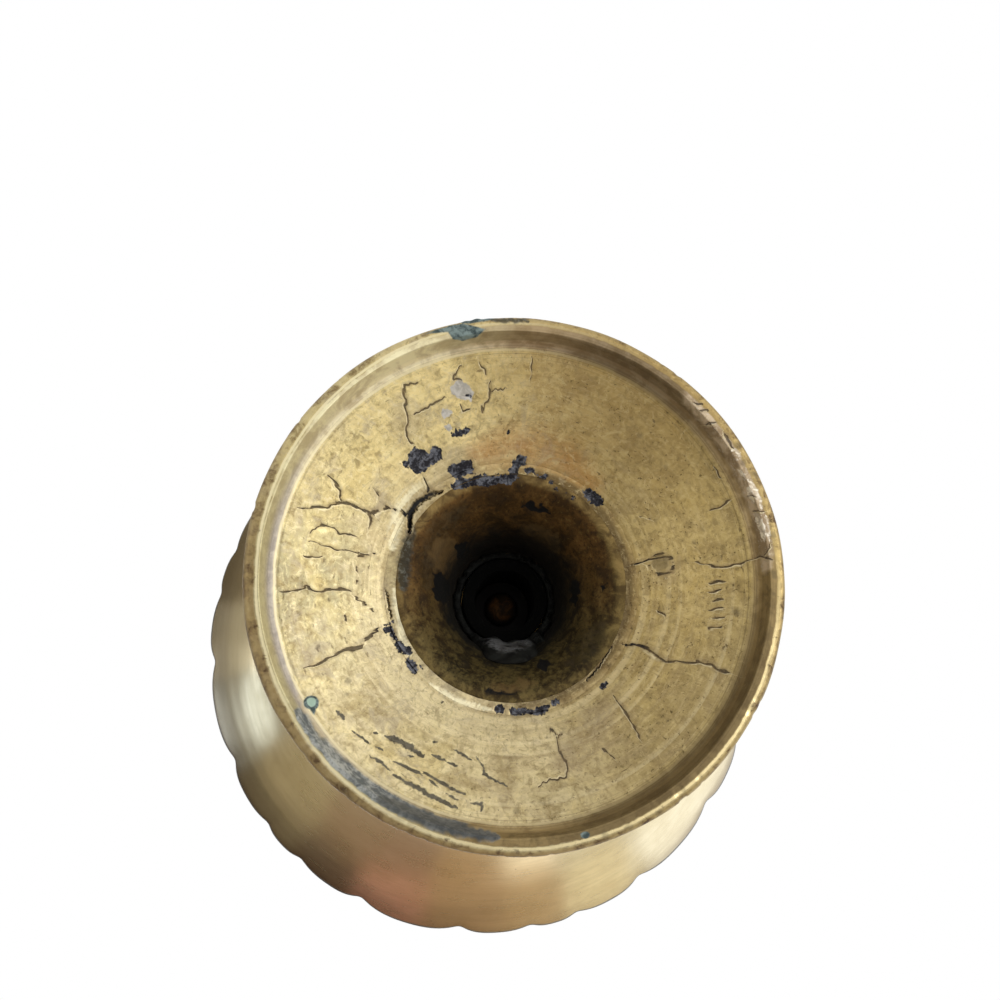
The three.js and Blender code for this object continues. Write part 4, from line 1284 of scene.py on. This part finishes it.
bowl = {
    "facets": 816,
    "rings": 116,
    "rounding": 0.2, "bendRings": 1.2,
    "rimFrom": 105, "rimRings": 1.7,                  # mm, and how much closer the rings lie from there
    "base": 17.1, "seat": 70.15, "rim": 70.2, "height": 45.8, "wall": 1.8,     # mm
    "hole": 2.45,                                     # mm, radius
    "flare": 0.7, "rimRun": 19.0, "floorRun": 29.0,
    "repeats": 6, "turn": 21.4,                       # degrees to the first wide lobe
    # share of the round, notch before and after in mm
    "lobes": [(21.2, 3.0, 3.0), (14.6, 3.0, 1.9), (9.6, 1.9, 1.9), (14.6, 1.9, 3.0)],
    "fade": 8,               # power of the height by which the lobes fade down the wall
    "lobeCurve": 3.0,        # 2 is a parabola, higher is flatter with steeper ends
    "valley": 0.6,           # degrees, how softly the notches are rounded
    "hammer": 0.05, "hammerWaves": (51, 40, 14, 0.03),          # mm, unevenness of the wall
    "turning": 0.009, "turningWaves": (55, 50, 3, 0.22),        # mm, ripples round the wall
    # directions of the side with more painted shade, the sides with less, and the smoother side
    "shadedSide": (0.643, -0.766, 0.0),
    "lessShadeSide": (0.996, -0.087, 0.0),
    "lessShadeLowSide": (-0.5, -0.866, 0.0),
    "polishedSide": (0.829, -0.559, 0.0),
}


# wall of the bowl: a cubic curve from the flat base to the rim, and the same curve one wall inside it
def bowlOutline():
    b = bowl
    top = b["seat"] + b["height"]
    keys = np.array([(b["base"], b["seat"]), (b["base"] + b["floorRun"], b["seat"]),
                     (b["rim"] - b["flare"] * b["rimRun"], top - b["rimRun"]), (b["rim"], top)])
    t = np.linspace(0, 1, 200)[:, None]
    u = 1 - t
    outer = u ** 3 * keys[0] + 3 * t * u ** 2 * keys[1] + 3 * t ** 2 * u * keys[2] + t ** 3 * keys[3]
    legs = np.diff(keys, axis=0)
    along = u ** 2 * legs[0] + 2 * t * u * legs[1] + t ** 2 * legs[2]
    along = along / np.hypot(along[:, 0], along[:, 1])[:, None]
    inner = outer + b["wall"] * np.stack([-along[:, 1], along[:, 0]], 1)
    return joinLegs((b["hole"], b["seat"]), outer, inner[::-1], (b["hole"], b["seat"] + b["wall"]))


# depth cut at each angle: in each lobe a power of the way from its middle to the notches at its ends,
# averaged round the rim under a bell curve that rounds the notches
def rimCut(theta, count=7200):
    b = bowl
    fine = angles(count)
    share = sum(lobe[0] for lobe in b["lobes"])
    repeat = 360 / b["repeats"]
    place = (np.degrees(fine) - b["turn"]) % repeat * share / repeat
    place = (place + b["lobes"][0][0] / 2) % share
    cut = np.zeros_like(fine)
    start = 0.0
    for width, before, after in b["lobes"]:
        across = (place - start) / width
        notch = (before + (after - before) * across) * np.abs(2 * across - 1) ** b["lobeCurve"]
        cut = np.where((across >= 0) & (across < 1), notch, cut)
        start += width
    return np.interp(theta, fine, bellSmooth(cut, 360 / count, b["valley"]), period=2 * np.pi)


# satin brass, brushed round the wall, with painted shade towards the rim and more on one side, and a thin
# rim edge painted dark as shade and tarnish
def makeBowlFinish():
    material, wire, place, radius = newFinish("satinBrassFinish")
    broad = wire.noise(place, 34, 3, 0.5)
    mottle = wire.noise(place, 160, 4, 0.55, 0.3)
    grain = wire.noise(place, 1300, 3, 0.6)
    brushing = wire.drawnNoise(place, (1, 1, 22), 110, 4, 0.6)
    streaks = wire.drawnNoise(place, (1, 1, 16), 42, 5, 0.62)      # long, round the wall
    rings = wire.lineNoise(radius, 700, 5)                         # turned rings inside
    edge, within = wire.field("edge"), wire.field("within")
    sides = ("shadedSide", "lessShadeSide", "lessShadeLowSide", "polishedSide")
    toShadedSide, toLessShade, toLessShadeLow, toPolished = [wire.towards(place, bowl[side]) for side in sides]
    # painted shade towards the rim, less of it on two sides
    bright = toLessShade.ease(0.046, 0.062).most(toLessShadeLow.ease(0.05, 0.066))
    shade = edge.ease(12.0, 0.5) * (0.25 + mottle * 0.5)
    shade = (shade * 0.6 + edge.ease(6.0, 1.2) * 0.45).least(0.9) * (1 - bright * 0.7)
    # painted shade: darker towards the rim on one side
    sideShade = toShadedSide.ease(0.02, 0.056) * (edge + mottle * 6 - 3).ease(19.0, 5.0)
    # the thin rim edge painted dark grey, as shade and tarnish
    thin = (edge + grain * 0.5 + mottle * 0.9 + within * 2.2).ease(2.4, 1.6)
    brass = (broad * 0.8 + mottle * 0.5 - 0.15).fade(0.3, 0.8, (222, 208, 170), (198, 182, 140))
    colour = wire.paint(brass, [
        (streaks.ease(0.48, 0.68) * 0.11, (158, 138, 104)),
        (streaks.ease(0.48, 0.32) * 0.11, (242, 230, 202)),
        (within * (0.35 + mottle * 0.4), (196, 168, 108)),
        (within * rings.ease(0.5, 0.7) * 0.2, (128, 102, 58)),
        (within * rings.ease(0.46, 0.3) * 0.17, (238, 216, 160)),
        (within * grain.ease(0.6, 0.7) * mottle.ease(0.5, 0.62) * 0.5, (104, 80, 46)),
        (broad.ease(0.6, 0.75) * 0.2, (206, 164, 126)),
        (brushing.ease(0.4, 0.75) * 0.06, (150, 128, 88)),
        (shade, (108, 88, 56)),
        (sideShade * 0.5, (104, 92, 78)),
        (thin * 0.85, (76, 76, 79)),
        (grain.ease(0.68, 0.76) * 0.35, (110, 86, 50))])
    rough = 0.16 + mottle * 0.1 + brushing * 0.06 + streaks * 0.04 + thin * 0.2 + within * 0.14
    rough = rough - toPolished.ease(0.048, 0.06) * (0.07 - within * 0.07)
    relief = brushing * 0.12 + grain * 0.1 + mottle * 0.15
    closeFinish(wire, colour, 1 - thin * 0.6, rough, wire.bump(relief, 0.00005, 0.2))
    return material


# turned wall with hammer waves and ripples; near the rim points slide down and in by the depth cut
def makeBowl():
    b = bowl
    closer = lambda r, z: np.where(z > b["rimFrom"], b["rimRings"], 1.0)
    rings = layRings(bowlOutline(), b["rings"], b["rounding"], closer, b["bendRings"])
    theta = angles(b["facets"])
    around, run = theta[:, None], runAlong(rings)[None, :]
    relief = b["hammer"] * waves(around, run, *b["hammerWaves"])
    relief = relief + b["turning"] * waves(around, run, *b["turningWaves"])
    points = turnedPoints(rings, theta, smooth(rings[None, :, 0], 17, 30) * relief)
    rise = np.clip((rings[None, :, 1] - b["seat"]) / b["height"], 0, None)
    slide = rimCut(theta)[:, None] * rise ** b["fade"]
    radial = np.stack([np.cos(theta), np.sin(theta), 0 * theta], 1)[:, None, :]
    points = points - slide[..., None] * (b["flare"] * radial + np.array([0, 0, 1.0]))
    past = run - run[0, np.argmax(rings @ np.array([b["flare"], 1.0]))]        # mm past the rim's edge
    fields = {"edge": np.abs(past), "within": smooth(past, -0.2, 0.8)}
    putPiece("bowl", "bowl", makeBowlFinish(), points, fields)


makeFootPlate()
makeStemCone()
makeTurned("stem", "stem", stem, stemOutline, makeStemFinish())
makeRivet()
makeTurned("rivetWasher", "rivet_washer", washer, washerOutline,
           makeRivetFinish("washerFinish"), True)
makeFootSeam()
sootyAndShaded, grey = makeSolderFinish("shadedSootySolderFinish", True), makeSolderFinish("greySolderFinish", False)
makeSolder("stemSolder", "stem_solder", stemSolderOutline, 62, sootyAndShaded, inCone=True)
makeSolder("bowlSolder", "bowl_solder", bowlSolderOutline, 63, grey, inCone=False)
makeBowl()


# stage: white world, a floor seen only from above, soft lamps under and over the dish

stage = {
    "ambient": 0.5,
    "floorSize": 3.0,            # m
    "floorGrey": (0.86, 0.86, 0.86, 1),
    "floorFade": (0.16, 0.7),    # m from the axis, from a floor with shadow to plain white
    "floorDrop": 0.0001,         # m under the foot, so that the two faces never share a plane
    "footHeight": 8.0, "middleHeight": 60.0,      # mm, where the low and the high lamps are aimed
    # lamps under the dish: name, mm to the right, up and towards the lens from the foot, side in mm,
    # watts, colour
    "lowLamps": [
        ("keyLamp", 315, 110, 190, 260, 0.8, (1, 1, 1)),
        ("fillLamp", -280, 60, 260, 240, 0.23, (1, 1, 1)),
        ("lipLamp", -112, 108, 300, 90, 0.026, (1, 0.98, 0.9)),
    ],
    # lamps over the dish: name, place in its own frame, width and height in mm, watts, colour
    "highLamps": [
        ("topLamp", (0, 10, 760), 700, 700, 3.4, (1, 1, 1)),
        ("sideLamp", (-500, -20, 400), 370, 430, 0.235, (0.82, 0.88, 1)),
        ("streakLamp", (312, -230, 268), 134, 80, 0.044, (0.68, 0.8, 1)),
        ("glintLamp", (356, -156, 262), 60, 44, 0.013, (0.9, 0.94, 1)),
        ("paleLamp", (-300, -211, 335), 132, 196, 0.026, (1, 0.98, 0.85)),
        ("goldLamp", (-270, -362, 212), 132, 132, 0.016, (1, 0.68, 0.4)),
    ],
    # cards that the metal shows and the lens does not: name, place, width and height in mm, colour; they
    # stand round the bowl's near side, darker above than below, and one lies under the lens
    "cards": [
        ("edgeCard", (387, 0, 353), 170, 240, (0.32, 0.27, 0.19, 1)),
        ("leftCard", (391, -119, 323), 140, 280, (0.68, 0.64, 0.55, 1)),
        ("glowCard", (330, -258, 300), 190, 340, (0.44, 0.425, 0.38, 1)),
        ("lowLeftCard", (221, -382, 220), 210, 230, (0.62, 0.54, 0.39, 1)),
        ("highLeftCard", (185, -325, 360), 220, 170, (0.25, 0.21, 0.145, 1)),
        ("lowBrownCard", (102, -439, 195), 150, 260, (0.46, 0.34, 0.26, 1)),
        ("highBrownCard", (86, -370, 355), 150, 180, (0.15, 0.1, 0.07, 1)),
        ("lowRoseCard", (-32, -450, 195), 150, 260, (0.48, 0.33, 0.27, 1)),
        ("roseCard", (-26, -392, 332), 120, 90, (1.0, 0.53, 0.45, 1)),
        ("highRoseCard", (-24, -360, 430), 150, 110, (0.16, 0.11, 0.08, 1)),
        ("amberCard", (-160, -416, 215), 150, 290, (0.72, 0.5, 0.33, 1)),
        ("highAmberCard", (-135, -352, 365), 150, 160, (0.42, 0.28, 0.17, 1)),
        ("goldCard", (-240, -320, 345), 130, 190, (0.82, 0.58, 0.35, 1)),
        ("paleCard", (-322, -226, 345), 130, 190, (1.0, 0.88, 0.62, 1)),
        ("lensCard", (130, -250, -430), 560, 560, (0.26, 0.24, 0.21, 1)),
    ],
}
white = (1, 1, 1, 1)


# faces a thing to a target, level: its back away from the target, its side square to that and the vertical
def aim(thing, place, target):
    back = place - target
    back = back / np.linalg.norm(back)
    side = np.cross((0.0, 0.0, 1.0), back)
    side = side / np.linalg.norm(side)
    standAt(thing, side, np.cross(back, side), back, place)


def addLamp(name, place, width, height, watts, colour, target):
    data = bpy.data.lights.new(name, "AREA")
    data.shape = "ELLIPSE"
    data.size = width * mm
    data.size_y = height * mm
    data.energy = watts
    data.color = colour
    aim(addObject(name, data), place, target)


# a flat sheet about the axis, with its sides in m and its height
def addSheet(name, width, depth, material, z=0.0):
    x, y = width / 2, depth / 2
    mesh = bpy.data.meshes.new(name)
    mesh.from_pydata([(-x, -y, z), (x, -y, z), (x, y, z), (-x, y, z)], [], [(0, 1, 2, 3)])
    mesh.materials.append(material)
    return addObject(name, mesh)


# the world is white to the lens and in the metal, and dimmer as a light
def makeWorld():
    world, wire = bareTree(bpy.data.worlds, "whiteRoom")
    bpy.context.scene.world = world
    camera, glossy, through = [wire.make("ShaderNodeLightPath", None, None, "Is " + ray + " Ray")
                               for ray in ("Camera", "Glossy", "Transmission")]
    shown = camera.most(glossy).most(through)
    strength = shown * (1 - stage["ambient"]) + stage["ambient"]
    sky = wire.make("ShaderNodeBackground", None, {"Color": white, "Strength": strength})
    wire.make("ShaderNodeOutputWorld", None, {"Surface": sky})


# pale where the lens sees the floor's upper face, open to everything else; far from the dish it is as
# white as the world, so that no edge shows
def makeFloorFinish():
    material, wire = bareTree(bpy.data.materials, "paleFloor")
    seen = wire.make("ShaderNodeLightPath", None, None, "Is Camera Ray")
    behind = wire.make("ShaderNodeNewGeometry", None, None, "Backfacing")
    spot = wire.make("ShaderNodeTexCoord", None, None, "Object")
    far = wire.make("ShaderNodeVectorMath", {"operation": "LENGTH"}, {0: spot}, "Value")
    matt = wire.make("ShaderNodeBsdfDiffuse", None, {"Color": stage["floorGrey"]})
    glow = wire.make("ShaderNodeEmission", None, {"Color": white, "Strength": 1.0})
    upper = wire.make("ShaderNodeMixShader", None, {0: far.ease(*stage["floorFade"]), 1: matt, 2: glow})
    clear = wire.make("ShaderNodeBsdfTransparent")
    mixed = wire.make("ShaderNodeMixShader", None, {0: seen * (1 - behind), 1: clear, 2: upper})
    wire.make("ShaderNodeOutputMaterial", None, {"Surface": mixed})
    return material


def makeStage():
    bpy.context.scene.view_settings.view_transform = "Standard"
    makeWorld()
    foot = np.array([0.0, 0.0, stage["footHeight"]])
    middle = np.array([0.0, 0.0, stage["middleHeight"]])
    for name, right, up, near, side, watts, colour in stage["lowLamps"]:
        place = foot + right * viewRight + up * viewUp - near * viewForward
        addLamp(name, place, side, side, watts, colour, foot)
    for name, place, width, height, watts, colour in stage["highLamps"]:
        addLamp(name, np.array(place, float), width, height, watts, colour, middle)
    floor = addSheet("floor", stage["floorSize"], stage["floorSize"], makeFloorFinish(),
                     -stage["floorDrop"])
    for name, place, width, height, colour in stage["cards"]:
        card, wire = bareTree(bpy.data.materials, name)
        matt = wire.make("ShaderNodeBsdfDiffuse", None, {"Color": colour})
        wire.make("ShaderNodeOutputMaterial", None, {"Surface": matt})
        panel = addSheet(name, width * mm, height * mm, card)
        panel.visible_camera = False
        aim(panel, np.array(place, float), middle)


makeStage()
print("stage lit")
